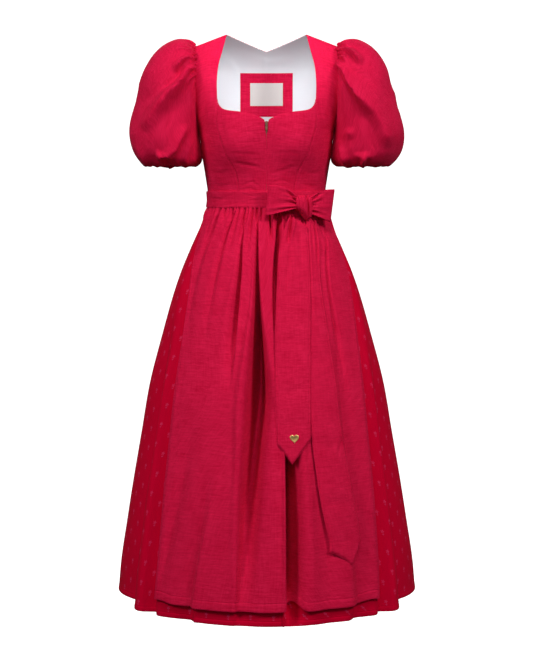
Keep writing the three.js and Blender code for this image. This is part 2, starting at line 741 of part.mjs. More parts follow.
function skirtForm(angleInDegrees, height) {
  const angle = angleInDegrees * DEGREE;
  const side = Math.cos(angle) < 0 ? 'back' : 'front';
  const halfWidth = lookUp(SKIRT_SECTIONS, 'halfWidth', height);
  const depth = lookUp(SKIRT_SECTIONS, side, height);
  const roundness = lookUp(SKIRT_SECTIONS, 'roundness', height);
  const plain = sectionRadius(angle, halfWidth, depth, roundness);
  const wave = (1 - Math.cos((angleInDegrees / GATHER_PERIOD) * 2 * Math.PI)) / 2;
  const gather = lookUp(SKIRT_SECTIONS, 'gather', height) * wave;
  const radius = plain - gather - foldTrough(angleInDegrees, height);
  return new THREE.Vector3(radius * Math.sin(angle), -radius * Math.cos(angle), height);
}

function skirtPoint(angleInDegrees, height) {
  return facedPoint(skirtForm, angleInDegrees, height, 1);
}

function skirtGrid(columns, fromAngle, toAngle) {
  return makeGrid(columns, SKIRT_ROWS.length - 1, (across, up, column, rowNumber) => {
    const height = SKIRT_ROWS[rowNumber];
    const gap = SEAM / 2 / lookUp(SKIRT_SECTIONS, 'halfWidth', height) / DEGREE;
    return skirtPoint(mix(fromAngle(height) + gap, toAngle(height) - gap, across), height);
  });
}

function hemLift(angle) {
  let lift = 0;
  HEM_LIFTS.forEach((place) => {
    const away = (angle - place.angle) / place.width;
    lift += place.lift * Math.exp(-away * away);
  });
  return lift;
}

function buildSkirt() {
  const rightEdge = (height) => lookUp(APRON_EDGES, 'right', height);
  const leftEdge = (height) => lookUp(APRON_EDGES, 'left', height);
  const front = skirtGrid(FRONT_COLUMNS, rightEdge, leftEdge);
  add('skirt_front', clothFrom(front, SKIRT_CLOTH), skirtCotton);
  const left = skirtGrid(SIDE_COLUMNS, leftEdge, () => BACK_PANEL_EDGE);
  add('skirt_left', clothFrom(left, SKIRT_CLOTH), skirtCotton);
  const right = skirtGrid(SIDE_COLUMNS, () => -BACK_PANEL_EDGE, rightEdge);
  add('skirt_right', clothFrom(right, SKIRT_CLOTH), skirtCotton);
  const back = skirtGrid(BACK_COLUMNS, () => BACK_PANEL_EDGE, () => 360 - BACK_PANEL_EDGE);
  add('skirt_back', clothFrom(back, SKIRT_CLOTH), skirtCotton);

  // The apron is the skirt's front panel moved out, ending above the skirt's hem.
  const hemHeight = SKIRT_ROWS[0] + APRON_HEM_FROM_SKIRT_HEM;
  const under = front.slice(0, APRON_TOP_ROW + 1).map((line) => line.map((point) => point.clone()));
  under[0].forEach((point, column) => {
    const above = under[1][column];
    const angle = Math.atan2(point.x, -point.y) / DEGREE;
    const height = hemHeight + hemLift(angle);
    point.lerp(above, (height - point.z) / (above.z - point.z));
  });
  under[APRON_TOP_ROW].forEach((point) => {
    point.z = BAND.bottom - APRON_TOP_GAP;
  });
  const lift = (row) => (row === APRON_TOP_ROW ? APRON_TOP_LIFT : APRON_LIFT);
  const inner = movedOut(under, lift);
  const outer = movedOut(under, (row) => lift(row) + APRON_CLOTH);
  add('apron_panel', wall(outer, inner), linen);
}

// ---------------------------------------------------------------- waistband and tie
function bandGrid(fromAngle, toAngle) {
  return makeGrid(BAND_COLUMNS, 2, (across, up) => {
    const height = mix(BAND.bottom, BAND.top, up);
    const angle = mix(fromAngle, toAngle, across) * DEGREE;
    const side = Math.cos(angle) < 0 ? 'back' : 'front';
    const table = height < 0 ? SKIRT_SECTIONS : BODICE_SECTIONS;
    const halfWidth = lookUp(table, 'halfWidth', height) + BAND.proud;
    const depth = lookUp(table, side, height) + BAND.proud;
    const radius = sectionRadius(angle, halfWidth, depth, BODICE_ROUNDNESS);
    return new THREE.Vector3(radius * Math.sin(angle), -radius * Math.cos(angle), height);
  });
}

function buildBand() {
  const from = BAND.edge + BAND.endGap;
  const to = BAND.edge - BAND.endGap;
  add('apron_band_front', clothFrom(bandGrid(-to, to), BAND_CLOTH), linen);
  add('apron_tie_back', clothFrom(bandGrid(from, 360 - from), BAND_CLOTH), linen);
}

// ---------------------------------------------------------------- bow
// Directions along the knot's axis and out of the body at the knot.
const knotTurn = KNOT.turn * DEGREE;
const knotAlong = new THREE.Vector3(Math.cos(knotTurn), Math.sin(knotTurn), 0);
const knotOut = new THREE.Vector3(knotAlong.y, -knotAlong.x, 0);
const knotMiddle = new THREE.Vector3(KNOT.x, KNOT.y, KNOT.z);

// A loop leaves the knot, turns back on itself and returns, as a flattened ring.
function bowLoop(loop, side) {
  const turn = loop.turn * DEGREE;
  const along = new THREE.Vector3(Math.cos(turn), Math.sin(turn), 0);
  const out = new THREE.Vector3(along.y, -along.x, 0).multiplyScalar(side);
  const start = knotMiddle.clone().addScaledVector(knotAlong, side * LOOP_START);
  const open = 0.1;
  const startShare = (1 - Math.cos(2 * Math.PI * open)) / 2;
  return makeGrid(12, 3, (across, up) => {
    const step = 2 * Math.PI * (side > 0 ? mix(open, 1 - open, across) : mix(1 - open, open, across));
    const reached = ((1 - Math.cos(step)) / 2 - startShare) / (1 - startShare);
    const height = mix(loop.startHeight, loop.endHeight, reached);
    const full = Math.sin(step) * (Math.sin(step) < 0 ? LOOP_BACK_SHARE : 1);
    const point = start.clone().addScaledVector(along, reached * loop.reach);
    point.addScaledVector(out, loop.fullness * full);
    point.z += mix(loop.startRise, loop.endRise + loop.startRise, reached) + (up - 0.5) * height;
    return point;
  });
}

function squared(share) {
  return Math.sign(share) * Math.abs(share) ** KNOT.squareness;
}

function bowKnot() {
  return makeGrid(14, 3, (around, across) => {
    const angle = around * 2 * Math.PI;
    const swell = Math.sin(across * Math.PI);
    const halfDepth = KNOT.endHalfDepth + KNOT.swellDepth * swell;
    const halfHeight = KNOT.endHalfHeight + KNOT.swellHeight * swell;
    const point = knotMiddle.clone();
    point.addScaledVector(knotAlong, mix(-KNOT.halfLength, KNOT.halfLength, across));
    point.addScaledVector(knotOut, halfDepth * squared(Math.sin(angle)));
    point.z += halfHeight * squared(Math.cos(angle));
    return point;
  });
}

function buildBow() {
  add('bow_loop_inner', clothFrom(bowLoop(INNER_LOOP, -1), RIBBON_CLOTH), linen);
  add('bow_loop_outer', clothFrom(bowLoop(OUTER_LOOP, 1), RIBBON_CLOTH), linen);
  add('bow_knot', clothFrom(bowKnot(), KNOT.cloth, true), linen);
  add('bow_tail_front', bowTail(FRONT_TAIL, FRONT_TAIL_END), linen);
  add('bow_tail_side', bowTail(SIDE_TAIL, SIDE_TAIL_END), linen);
}

// A point in front of the skirt, at a distance from the centre, clear of its folds.
function frontOfSkirt(x, height, out) {
  const halfWidth = lookUp(SKIRT_SECTIONS, 'halfWidth', height) + out;
  const depth = lookUp(SKIRT_SECTIONS, 'front', height) + out;
  const roundness = lookUp(SKIRT_SECTIONS, 'roundness', height);
  const y = depth * (1 - (Math.abs(x) / halfWidth) ** roundness) ** (1 / roundness);
  return new THREE.Vector3(x, -y, height);
}

function bowTail(table, end) {
  const top = table.at(-1).height;
  const grid = makeGrid(TAIL_COLUMNS, TAIL_ROWS, (across, up) => {
    const corner = mix(end.nearCorner, end.farCorner, across);
    const toTip = across < end.tipAt ? across / end.tipAt : (1 - across) / (1 - end.tipAt);
    const bottom = mix(corner, end.tip, toTip);
    const height = mix(bottom, top, up);
    const row = Math.max(height, table[0].height);
    const x = mix(lookUp(table, 'near', row), lookUp(table, 'far', row), across);
    return frontOfSkirt(x, height, lookUp(table, 'out', row));
  });
  return clothFrom(grid, RIBBON_CLOTH);
}

// A small plain heart, hung flat on the front tail.
function buildCharm() {
  const lobe = CHARM.width / 4;
  const heart = new THREE.Shape();
  heart.moveTo(0, -CHARM.height / 2);
  heart.quadraticCurveTo(2.1 * lobe, -lobe * 0.1, 2 * lobe, CHARM.height / 2 - lobe);
  heart.absarc(lobe, CHARM.height / 2 - lobe, lobe, 0, Math.PI);
  heart.absarc(-lobe, CHARM.height / 2 - lobe, lobe, 0, Math.PI);
  heart.quadraticCurveTo(-2.1 * lobe, -lobe * 0.1, 0, -CHARM.height / 2);
  const out = FRONT_TAIL[0].out + 2 * SEAM;
  const point = frontOfSkirt(CHARM.x, CHARM.z, out);
  const facing = facingBetween(
    frontOfSkirt(CHARM.x - 1, CHARM.z, out),
    frontOfSkirt(CHARM.x + 1, CHARM.z, out),
    frontOfSkirt(CHARM.x, CHARM.z - 1, out),
    frontOfSkirt(CHARM.x, CHARM.z + 1, out),
  );
  add('charm', layOn(extruded(heart, CHARM.thickness), point, facing), gold);
}

buildBodice();
buildZip();
buildSleeves();
buildSkirt();
buildBand();
buildBow();
buildCharm();

export default dirndl;
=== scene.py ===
import math

import bpy
import numpy as np
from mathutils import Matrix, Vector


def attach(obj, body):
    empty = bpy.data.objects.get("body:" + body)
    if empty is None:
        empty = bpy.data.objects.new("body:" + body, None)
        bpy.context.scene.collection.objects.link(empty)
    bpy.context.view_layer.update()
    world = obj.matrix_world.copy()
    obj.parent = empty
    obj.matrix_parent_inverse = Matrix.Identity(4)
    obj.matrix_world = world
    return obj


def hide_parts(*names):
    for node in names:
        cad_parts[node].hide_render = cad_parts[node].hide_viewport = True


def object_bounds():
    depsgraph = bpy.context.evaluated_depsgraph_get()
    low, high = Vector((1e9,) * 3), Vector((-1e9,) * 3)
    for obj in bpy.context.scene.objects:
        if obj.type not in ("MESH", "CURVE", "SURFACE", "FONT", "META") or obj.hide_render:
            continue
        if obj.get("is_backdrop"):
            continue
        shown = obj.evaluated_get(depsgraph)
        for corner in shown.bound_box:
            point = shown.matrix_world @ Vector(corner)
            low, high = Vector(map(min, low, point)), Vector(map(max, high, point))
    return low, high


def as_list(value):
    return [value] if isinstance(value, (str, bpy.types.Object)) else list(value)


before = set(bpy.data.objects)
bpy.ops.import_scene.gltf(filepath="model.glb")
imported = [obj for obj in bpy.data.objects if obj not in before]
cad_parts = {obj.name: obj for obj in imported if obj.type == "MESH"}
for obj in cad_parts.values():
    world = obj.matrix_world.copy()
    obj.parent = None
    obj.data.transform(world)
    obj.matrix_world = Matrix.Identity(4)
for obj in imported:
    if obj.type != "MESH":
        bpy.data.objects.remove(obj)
cad_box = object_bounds()
bpy.ops.object.select_all(action="DESELECT")

# ---------------------------------------------------------------- studio
# A white sweep that curves up behind the dress, three soft lights above and in
# front, weak ones in front and behind, a small one that lights the neck opening,
# and a camera at waist height, whose shifted frame takes in the skirt.
MM = 0.001
WAIST = -358 * MM
CAMERA_DISTANCE = 3.07
CAMERA_TILT = math.radians(1.38)
FRAME_SHIFT = -0.15
LENS = 73.9

bpy.ops.object.camera_add(
    location=(0, -CAMERA_DISTANCE, WAIST), rotation=(math.pi / 2 - CAMERA_TILT, 0, 0)
)
camera = bpy.context.object
camera.data.lens = LENS
camera.data.sensor_width = 36
camera.data.shift_y = FRAME_SHIFT
camera.data.clip_end = 40
bpy.context.scene.camera = camera
bpy.context.scene.view_settings.view_transform = "Standard"


def soft_light(name, place, aim, size, watts):
    away = np.array(place) - np.array(aim)
    level = math.hypot(away[0], away[1])
    pitch = math.atan2(level, away[2])
    turn = math.atan2(away[0], -away[1])
    bpy.ops.object.light_add(type="AREA", location=place, rotation=(pitch, 0, turn))
    light = bpy.context.object
    light.name = name
    light.data.shape = "RECTANGLE"
    light.data.size, light.data.size_y = size
    light.data.energy = watts


soft_light("left_key_light", (-2.3, -2.3, 1.7), (0, 0, -0.45), (0.8, 0.8), 72)
soft_light("right_key_light", (2.3, -2.3, 1.7), (0, 0, -0.45), (0.8, 0.8), 80)
soft_light("top_light", (-0.1, -2.1, 2.4), (0, 0, -0.5), (0.9, 0.9), 32)
soft_light("front_light", (0, -3.3, 0.3), (0, 0, -0.3), (1.2, 1.2), 8)
soft_light("back_light", (0, 3.2, 1.6), (0, 0, -0.4), (3.0, 1.4), 26)
bpy.ops.object.light_add(type="SPOT", location=(0, -0.66, 0.1), rotation=(math.radians(80), 0, 0))
neck_light = bpy.context.object
neck_light.name = "neck_light"
neck_light.data.energy = 14
neck_light.data.color = (0.93, 0.985, 1)
neck_light.data.spot_size = math.radians(31)
neck_light.data.spot_blend = 0.6
neck_light.data.shadow_soft_size = 0.06

world = bpy.data.worlds.new("studio")
bpy.context.scene.world = world
world.use_nodes = True
world.node_tree.nodes["Background"].inputs["Color"].default_value = (1, 0.985, 0.985, 1)
world.node_tree.nodes["Background"].inputs["Strength"].default_value = 0.06

FLOOR = -1.75
SWEEP_HALF_WIDTH = 9.0
SWEEP_RADIUS = 2.0
SWEEP_START = 3.4
turns = np.linspace(0, math.pi / 2, 17)
profile = [(-6.0, FLOOR)]
profile += [
    (SWEEP_START + SWEEP_RADIUS * math.sin(t), FLOOR + SWEEP_RADIUS * (1 - math.cos(t)))
    for t in turns
]
profile.append((SWEEP_START + SWEEP_RADIUS, 6.0))
sweep_mesh = bpy.data.meshes.new("sweep")
sweep_mesh.from_pydata(
    [(side * SWEEP_HALF_WIDTH, y, z) for y, z in profile for side in (-1, 1)],
    [],
    [(2 * i, 2 * i + 1, 2 * i + 3, 2 * i + 2) for i in range(len(profile) - 1)],
)
sweep = bpy.data.objects.new("sweep", sweep_mesh)
bpy.context.scene.collection.objects.link(sweep)
sweep_mesh.shade_smooth()
sweep.visible_diffuse = False
sweep.visible_glossy = False
sweep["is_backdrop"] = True

# ---------------------------------------------------------------- backdrop finish
# The sweep is plain white and glows. Its material is a Finish, as every later one is, and
# the patterns of a cloth's finish read a UV map that holds metres along weft and warp.
class Value:
    """A shader socket that takes part in sums: each operator adds its Math node."""

    def __init__(self, finish, socket):
        self.finish = finish
        self.socket = socket

    def math(self, operation, *others, clamp=False):
        settings = {"operation": operation, "use_clamp": clamp}
        return self.finish.node("ShaderNodeMath", settings, dict(enumerate((self, *others))))

    def __add__(self, other):
        return self.math("ADD", other)

    def __sub__(self, other):
        return self.math("SUBTRACT", other)

    def __rsub__(self, other):
        return self * -1 + other

    def __mul__(self, other):
        return self.math("MULTIPLY", other)

    def __truediv__(self, other):
        return self.math("DIVIDE", other)

    __radd__ = __add__
    __rmul__ = __mul__

    def sine(self):
        return self.math("SINE")

    def turns(self, length):
        """The angle of a wave that is this many millimetres long."""
        return self * (2 * math.pi / (length * MM))

    def clipped(self):
        return self.math("ADD", 0.0, clamp=True)

    def between(self, low, high):
        """0 below low, 1 above high and smooth between them."""
        inputs = {"Value": self, "From Min": low, "From Max": high}
        settings = {"interpolation_type": "SMOOTHSTEP", "clamp": True}
        return self.finish.node("ShaderNodeMapRange", settings, inputs)


class Finish:
    """A material with one Principled shader, and the nodes that feed it."""

    def __init__(self, name, **constants):
        self.material = bpy.data.materials.new(name)
        self.material.use_nodes = True
        self.tree = self.material.node_tree
        self.shader = self.tree.nodes["Principled BSDF"]
        for socket, value in constants.items():
            self.set(socket.replace("_", " "), value)

    def node(self, kind, settings, inputs, output=0):
        node = self.tree.nodes.new(kind)
        for name, value in settings.items():
            setattr(node, name, value)
        for name, value in inputs.items():
            self.put(node.inputs[name], value)
        return Value(self, node.outputs[output])

    def put(self, socket, value):
        if isinstance(value, Value):
            self.tree.links.new(value.socket, socket)
        else:
            socket.default_value = value

    def set(self, name, value):
        self.put(self.shader.inputs[name], value)

    def split(self, vector):
        """The three parts of a vector."""
        parts = self.node("ShaderNodeSeparateXYZ", {}, {"Vector": vector}).socket.node.outputs
        return [Value(self, part) for part in parts]

    def cloth_place(self):
        """Metres along the weft and along the warp."""
        return self.split(self.node("ShaderNodeUVMap", {"uv_map": "cloth"}, {}))[:2]

    def noise(self, x, y, detail=2.0, seed=0.0):
        """Soft noise in which a patch is about one unit of x and y wide."""
        place = self.node("ShaderNodeCombineXYZ", {}, {"X": x, "Y": y, "Z": seed})
        inputs = {"Vector": place, "Scale": 1.0, "Detail": detail}
        return self.node("ShaderNodeTexNoise", {}, inputs)

    def weave(self, weft, warp, thread):
        """Threads over and under each other, this many millimetres apart."""
        return weft.turns(thread).sine() * warp.turns(thread).sine()

    def blend(self, factor, first, second):
        inputs = {"Factor": factor, "A": first, "B": second}
        node = self.tree.nodes.new("ShaderNodeMix")
        node.data_type = "RGBA"
        for socket in node.inputs:
            if socket.name in inputs and (socket.type == "RGBA" or socket.identifier == "Factor_Float"):
                self.put(socket, inputs[socket.name])
        return Value(self, next(out for out in node.outputs if out.type == "RGBA"))

    def bump(self, height, strength, distance):
        inputs = {"Height": height, "Strength": strength, "Distance": distance}
        self.set("Normal", self.node("ShaderNodeBump", {}, inputs))


backdrop = Finish(
    "backdrop_white", Base_Color=(0.9, 0.9, 0.9, 1), Roughness=0.9, Specular_IOR_Level=0.1,
    Emission_Color=(1, 1, 1, 1), Emission_Strength=1.0,
)
sweep_mesh.materials.append(backdrop.material)

# ---------------------------------------------------------------- bodice fronts
# Two centre fronts and two side fronts with their straps, cut from slub linen and sewn
# along the princess seams, which shape the cups. Millimetres from here on: heights are
# from the waist seam, and angles run from the centre front to the wearer's left.
UNDERARM = 155
NECK_CORNER = 202
SLOPE_START = 300
TOP_ROW = 372
ROUNDNESS = 2.3
NECK_POINT = 89
SHOULDER_SLOPE = 0.384
BACK_V_BOTTOM = 340
SEAM = 0.3
LINEN_CLOTH = 1.5
CUP_ACROSS, CUP_HEIGHT, CUP_FULLNESS = 72, 118, 17
CUP_SPREAD_ACROSS, CUP_SPREAD_UP = 44, 48


def table(columns, *rows):
    """A table with named columns: one array for each."""
    return dict(zip(columns.split(), np.array(rows, float).T))


BODICE_SECTIONS = table(
    "height half_width front back",
    (0, 130.5, 93, 90), (20, 132, 94, 91), (60, 138, 98, 94), (100, 144.5, 105, 98),
    (140, 150, 110, 102), (155, 152.5, 111, 103), (180, 163, 110, 105), (220, 178, 99, 107),
    (260, 188, 82, 106), (300, 194, 61, 98), (325, 197, 44, 82), (345, 199, 28, 60),
    (360, 200, 15, 33), (368, 200, 7.5, 14), (372, 200, 0.3, 0.3),
)
CLOSING_EDGE = table(
    "height out",
    (0, 0.2), (140, 0.2), (149, 2.2), (157, 2.9), (166, 3.4), (174, 4.7),
)
PRINCESS_SEAM = table(
    "height out",
    (0, 58), (22, 60.5), (59, 67.5), (76, 76), (96, 88), (121, 97), (150, 106), (171, 110),
    (202, 107.5),
)
NECK_SIDE = table(
    "height out", (202, 107.5), (259, 109), (297, 106), (337, 97), (372, 89),
)
ARMHOLE = table(
    "height out", (155, 152.5), (180, 155), (220, 157), (280, 159), (330, 161), (372, 162),
)
NECK_FRONT = table(
    "out height", (0, 174), (8, 179), (28, 187), (58, 192.5), (82, 195.5), (94, 199), (101, 204.5),
    (105.5, 212), (107.5, 221),
)


def curve(t, start, end, slope_start, slope_end):
    """Smooth values between a start and an end that have these slopes."""
    return (
        (2 * t**3 - 3 * t**2 + 1) * start + (t**3 - 2 * t**2 + t) * slope_start
        + (3 * t**2 - 2 * t**3) * end + (t**3 - t**2) * slope_end
    )


def look_up(rows, column, at, key="height"):
    """Smooth value of a table's column at a key such as height."""
    keys, values = rows[key], rows[column]
    last = len(keys) - 1
    high = np.clip(np.searchsorted(keys, at), 1, last)
    low = high - 1
    before, after = np.maximum(low - 1, 0), np.minimum(high + 1, last)
    span = keys[high] - keys[low]
    t = np.clip((at - keys[low]) / span, 0, 1)
    slope_low = (values[high] - values[before]) / (keys[high] - keys[before]) * span
    slope_high = (values[after] - values[low]) / (keys[after] - keys[low]) * span
    return curve(t, values[low], values[high], slope_low, slope_high)


def mix(start, end, share):
    return start + (end - start) * share


def section_radius(angle, half_width, depth, roundness):
    across = np.abs(np.sin(angle)) / half_width
    along = np.abs(np.cos(angle)) / depth
    return (across**roundness + along**roundness) ** (-1 / roundness)


def bodice_depth(x, row, side):
    share = np.minimum(np.abs(x) / look_up(BODICE_SECTIONS, "half_width", row), 1)
    return look_up(BODICE_SECTIONS, side, row) * (1 - share**ROUNDNESS) ** (1 / ROUNDNESS)


def bodice_form(angle, row, side):
    """Points of the bodice's outer face; above SLOPE_START the rows lean to the top edge."""
    half_width = look_up(BODICE_SECTIONS, "half_width", row)
    depth = look_up(BODICE_SECTIONS, side, row)
    x = section_radius(angle, half_width, depth, ROUNDNESS) * np.sin(angle)
    out = np.abs(x)
    top = np.full_like(x, TOP_ROW)
    if side == "back":
        top = np.where(out < NECK_POINT, mix(BACK_V_BOTTOM, TOP_ROW, out / NECK_POINT), top)
    share = np.clip((row - SLOPE_START) / (TOP_ROW - SLOPE_START), 0, 1)
    level = np.where(share > 0, mix(SLOPE_START, top, share), row)
    drop = np.maximum(out - NECK_POINT, 0) * SHOULDER_SLOPE
    height = np.where(share > 0, mix(SLOPE_START, top - drop, share), row)
    y = bodice_depth(x, level, side)
    if side == "front":
        across = (out - CUP_ACROSS) / CUP_SPREAD_ACROSS
        up = (row - CUP_HEIGHT) / CUP_SPREAD_UP
        y = -y - CUP_FULLNESS * np.exp(-across**2 - up**2)
    return np.stack((x, y, height), -1)


def angle_at(x, row, side):
    """The angle at which the bodice is this far from the centre line."""
    angle = np.arctan2(x, bodice_depth(x, row, side))
    return np.pi - angle if side == "back" else angle


def outer_edge_angle(row, side):
    gap = SEAM / 2 / look_up(BODICE_SECTIONS, "half_width", row)
    seam = np.pi / 2 + gap if side == "back" else np.pi / 2 - gap
    return np.where(row <= UNDERARM, seam, angle_at(look_up(ARMHOLE, "out", row), row, side))


def facings(face, closed=False):
    """Unit directions out of a grid of points; rows run up, columns to the wearer's left."""
    if closed:
        wide = np.concatenate((face[:, -2:-1], face, face[:, 1:2]), 1)
        along = (wide[:, 2:] - wide[:, :-2])
    else:
        along = np.gradient(face, axis=1)
    out = np.cross(along, np.gradient(face, axis=0))
    return out / np.maximum(np.linalg.norm(out, axis=-1, keepdims=True), 1e-9)


def spaced(count, *edges):
    """Shares from 0 to 1, with extra ones beside both ends for a seam's roll."""
    middle = np.linspace(0, 1, count)
    return np.unique(np.concatenate((middle, edges, 1 - np.array(edges))).round(5))


def beside_path(x, y, points):
    """How far to the left of a path each point lies, and how many of its runs along."""
    nearest = np.full(np.shape(x), np.inf)
    signed, station = np.zeros(np.shape(x)), np.zeros(np.shape(x))
    for number, run in enumerate(np.diff(points, axis=0)):
        dx, dy = x - points[number][0], y - points[number][1]
        t = np.clip((dx * run[0] + dy * run[1]) / (run @ run), 0, 1)
        distance = np.hypot(dx - t * run[0], dy - t * run[1])
        closer = distance < nearest
        nearest = np.where(closer, distance, nearest)
        signed = np.where(closer, np.sign(dy * run[0] - dx * run[1]) * distance, signed)
        station = np.where(closer, number + t, station)
    return signed, station


def crease(x, y, path, width, depth, start, end, lip=0.35):
    """How deep a soft trough lies along a path, with a low ridge on its left side."""
    points = np.array(path, float)
    signed, station = beside_path(x, y, points)
    lengths = np.linalg.norm(np.diff(points, axis=0), axis=1)
    done = np.concatenate(((0,), np.cumsum(lengths))) / lengths.sum()
    along = np.interp(station, np.arange(len(points)), done)
    ramp = np.interp(along, (0, 0.3, 0.65, 1), (start, 1, 1, end))
    fade = ramp * ramp * (3 - 2 * ramp)
    ridge = np.exp(-(((signed - 1.7 * width) / (1.1 * width)) ** 2))
    return depth * fade * (np.exp(-((signed / width) ** 2)) - lip * ridge)


def creased(face, creases, side=1):
    """How deep a piece's creases lie; with side -1 the face is one that is flipped later."""
    return sum(crease(side * face[..., 0], face[..., 2], *row) for row in creases)


def pressed_in(face, depth, closed=False):
    return face - facings(face, closed) * depth[..., None]


def drawn_in(distance, depth=0.9, width=1.7):
    """How far a sewn edge or a row of stitches draws the cloth in, at a distance from it."""
    return depth * np.exp(-((distance / width) ** 2))


def shell(name, face, thickness, closed=False):
    """A closed shell of cloth whose outer face is a grid of points in millimetres."""
    rows, columns = face.shape[:2]
    width = columns - 1 if closed else columns
    inner = face - np.multiply(facings(face, closed), np.asarray(thickness)[..., None])
    points = [grid[:, :width].reshape(-1, 3) for grid in (face, inner)]
    points = np.concatenate(points) * MM + (0, 0, WAIST)
    number = np.arange(rows)[:, None] * width + np.arange(columns) % width
    below = number + rows * width
    place = np.arange(rows * columns).reshape(rows, columns)

    def quads(a, b, c, d):
        return np.stack((a, b, c, d), -1).reshape(-1, 4)

    def corners(grid):
        return grid[:-1, :-1], grid[:-1, 1:], grid[1:, 1:], grid[1:, :-1]

    def rim(line, under, spot):
        return quads(line[:-1], under[:-1], under[1:], line[1:]), quads(
            spot[:-1], spot[:-1], spot[1:], spot[1:]
        )

    faces = [(quads(*corners(number)), quads(*corners(place)))]
    faces.append((quads(*corners(below))[:, ::-1], quads(*corners(place))[:, ::-1]))
    faces.append(rim(number[0], below[0], place[0]))
    faces.append(rim(number[-1][::-1], below[-1][::-1], place[-1][::-1]))
    if not closed:
        faces.append(rim(number[::-1, 0], below[::-1, 0], place[::-1, 0]))
        faces.append(rim(number[:, -1], below[:, -1], place[:, -1]))
    mesh = bpy.data.meshes.new(name)
    mesh.from_pydata(points, [], np.concatenate([vertices for vertices, _ in faces]))
    across = np.cumsum(np.linalg.norm(np.diff(face, axis=1, prepend=face[:, :1]), axis=-1), 1)
    across -= across[:, columns // 2: columns // 2 + 1]
    up = np.cumsum(np.linalg.norm(np.diff(face, axis=0, prepend=face[:1]), axis=-1), 0)
    if not closed:
        up += face[:1, :, 2] - face[0, columns // 2, 2]
    spots = np.stack((across, up), -1).reshape(-1, 2) * MM
    uv = mesh.uv_layers.new(name="cloth")
    uv.uv.foreach_set("vector", spots[np.concatenate([s for _, s in faces]).ravel()].ravel())
    piece = bpy.data.objects.new(name, mesh)
    bpy.context.scene.collection.objects.link(piece)
    bpy.context.view_layer.objects.active = piece
    piece.select_set(True)
    bpy.ops.object.shade_smooth_by_angle(angle=math.radians(50))
    piece.select_set(False)
    return piece


def sew(piece, finish, slot, nodes, flat, held, area=None, rests_on=()):
    """Gives a piece of cloth its finish, hangs it on the dress, and hides the parts of model.glb that it
    stands for.
    """
    piece.data.materials.append(finish)
    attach(piece, "dress")
    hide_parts(*nodes)
    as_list(rests_on)


def flipped(face):
    """The same grid on the other side of the body."""
    return face[:, ::-1] * (-1, 1, 1)


LINEN_THREAD = 0.9
RIB_PITCH = 3.1


def colour(red, green, blue):
    """A shader colour from display values of 0 to 255."""
    shares = [value / 255 for value in (red, green, blue)]
    linear = [s / 12.92 if s <= 0.04045 else ((s + 0.055) / 1.055) ** 2.4 for s in shares]
    return (*linear, 1)


def linen_finish(name, light, dark, streak, rib):
    """Linen: thread by thread relief, uneven weft streaks, and the odd thick slub."""
    finish = Finish(
        name, Sheen_Weight=0.14, Sheen_Roughness=0.4, Sheen_Tint=colour(255, 70, 110),
        Specular_IOR_Level=0.3, Specular_Tint=colour(255, 90, 130),
    )
    weft, warp = finish.cloth_place()
    weave = finish.weave(weft, warp, LINEN_THREAD)
    fine = finish.noise(weft * 90, warp * 1100)
    coarse = finish.noise(weft * 28, warp * 270, seed=5)
    cross = finish.noise(weft * 320, warp * 34, seed=3)
    slub = finish.noise(weft * 40, warp * 620, 1.0, seed=7).between(0.64, 0.76)
    patches = finish.noise(weft * 26, warp * 26, 3.0, seed=11)
    ribs = (warp.turns(RIB_PITCH) + patches * 5).sine()
    tone = (fine - 0.5) * streak + (coarse - 0.5) * (streak * 0.9)
    tone = tone + (cross - 0.5) * (streak * 0.6) + (patches - 0.5) * 0.4
    tone = tone + slub * 0.13 + ribs * rib + weave * 0.06 + 0.44
    finish.set("Base Color", finish.blend(tone.clipped(), dark, light))
    finish.set("Roughness", 0.78 - fine * 0.16)
    height = weave * 0.4 + fine * 0.6 + cross * 0.6 + coarse * 0.3 + slub * 0.4 + ribs * (rib * 2)
    finish.bump(height, 0.6, 0.4 * MM)
    return finish.material


LINEN = linen_finish("slub_linen", colour(234, 34, 84), colour(184, 0, 42), 0.85, 0.0)
PLACKET_STITCH = 11.4

# Creases of each front as worn: the x and height of each point along it, how wide and how
# deep it is, and how much of that depth is left at its two ends.
RIGHT_FRONT_CREASES = (
    (((-75, 82), (-40, 76), (-8, 69)), 3.8, 1.1, 0.1, 0.3),
    (((-57, 32), (-30, 40), (-9, 27)), 2.6, 0.9, 0.2, 0.0),
    (((-62, 20), (-35, 26), (-10, 14)), 2.4, 0.7, 0.2, 0.0),
    (((-78, 150), (-40, 147), (-12, 149)), 3.0, 0.5, 0.0, 0.3),
    (((-85, 128), (-45, 124), (-12, 126)), 3.0, 0.5, 0.0, 0.3),
    (((-90, 104), (-50, 100), (-12, 98)), 3.4, 0.6, 0.0, 0.4),
    (((-100, 182), (-94, 150), (-86, 120)), 5.0, 0.8, 0.3, 0.0),
)
LEFT_FRONT_CREASES = (
    (((10, 58), (40, 66), (72, 78)), 4.0, 0.8, 0.3, 0.1),
    (((12, 128), (45, 131), (82, 126)), 3.2, 0.5, 0.2, 0.0),
    (((12, 100), (50, 104), (88, 98)), 3.4, 0.6, 0.2, 0.0),
    (((10, 38), (34, 44), (56, 36)), 2.6, 0.7, 0.0, 0.2),
    (((100, 184), (96, 156), (88, 126)), 5.0, 0.8, 0.3, 0.0),
)
SIDE_FRONT_CREASES = (
    (((112, 250), (118, 206), (124, 168)), 5.0, 0.9, 0.1, 0.0),
    (((140, 230), (137, 200), (133, 170)), 5.5, 1.1, 0.2, 0.0),
    (((84, 62), (104, 58), (126, 66)), 4.0, 0.8, 0.3, 0.1),
    (((76, 36), (100, 30), (124, 38)), 4.0, 0.7, 0.2, 0.1),
    (((150, 132), (136, 120), (118, 116)), 5.0, 0.9, 0.5, 0.0),
)


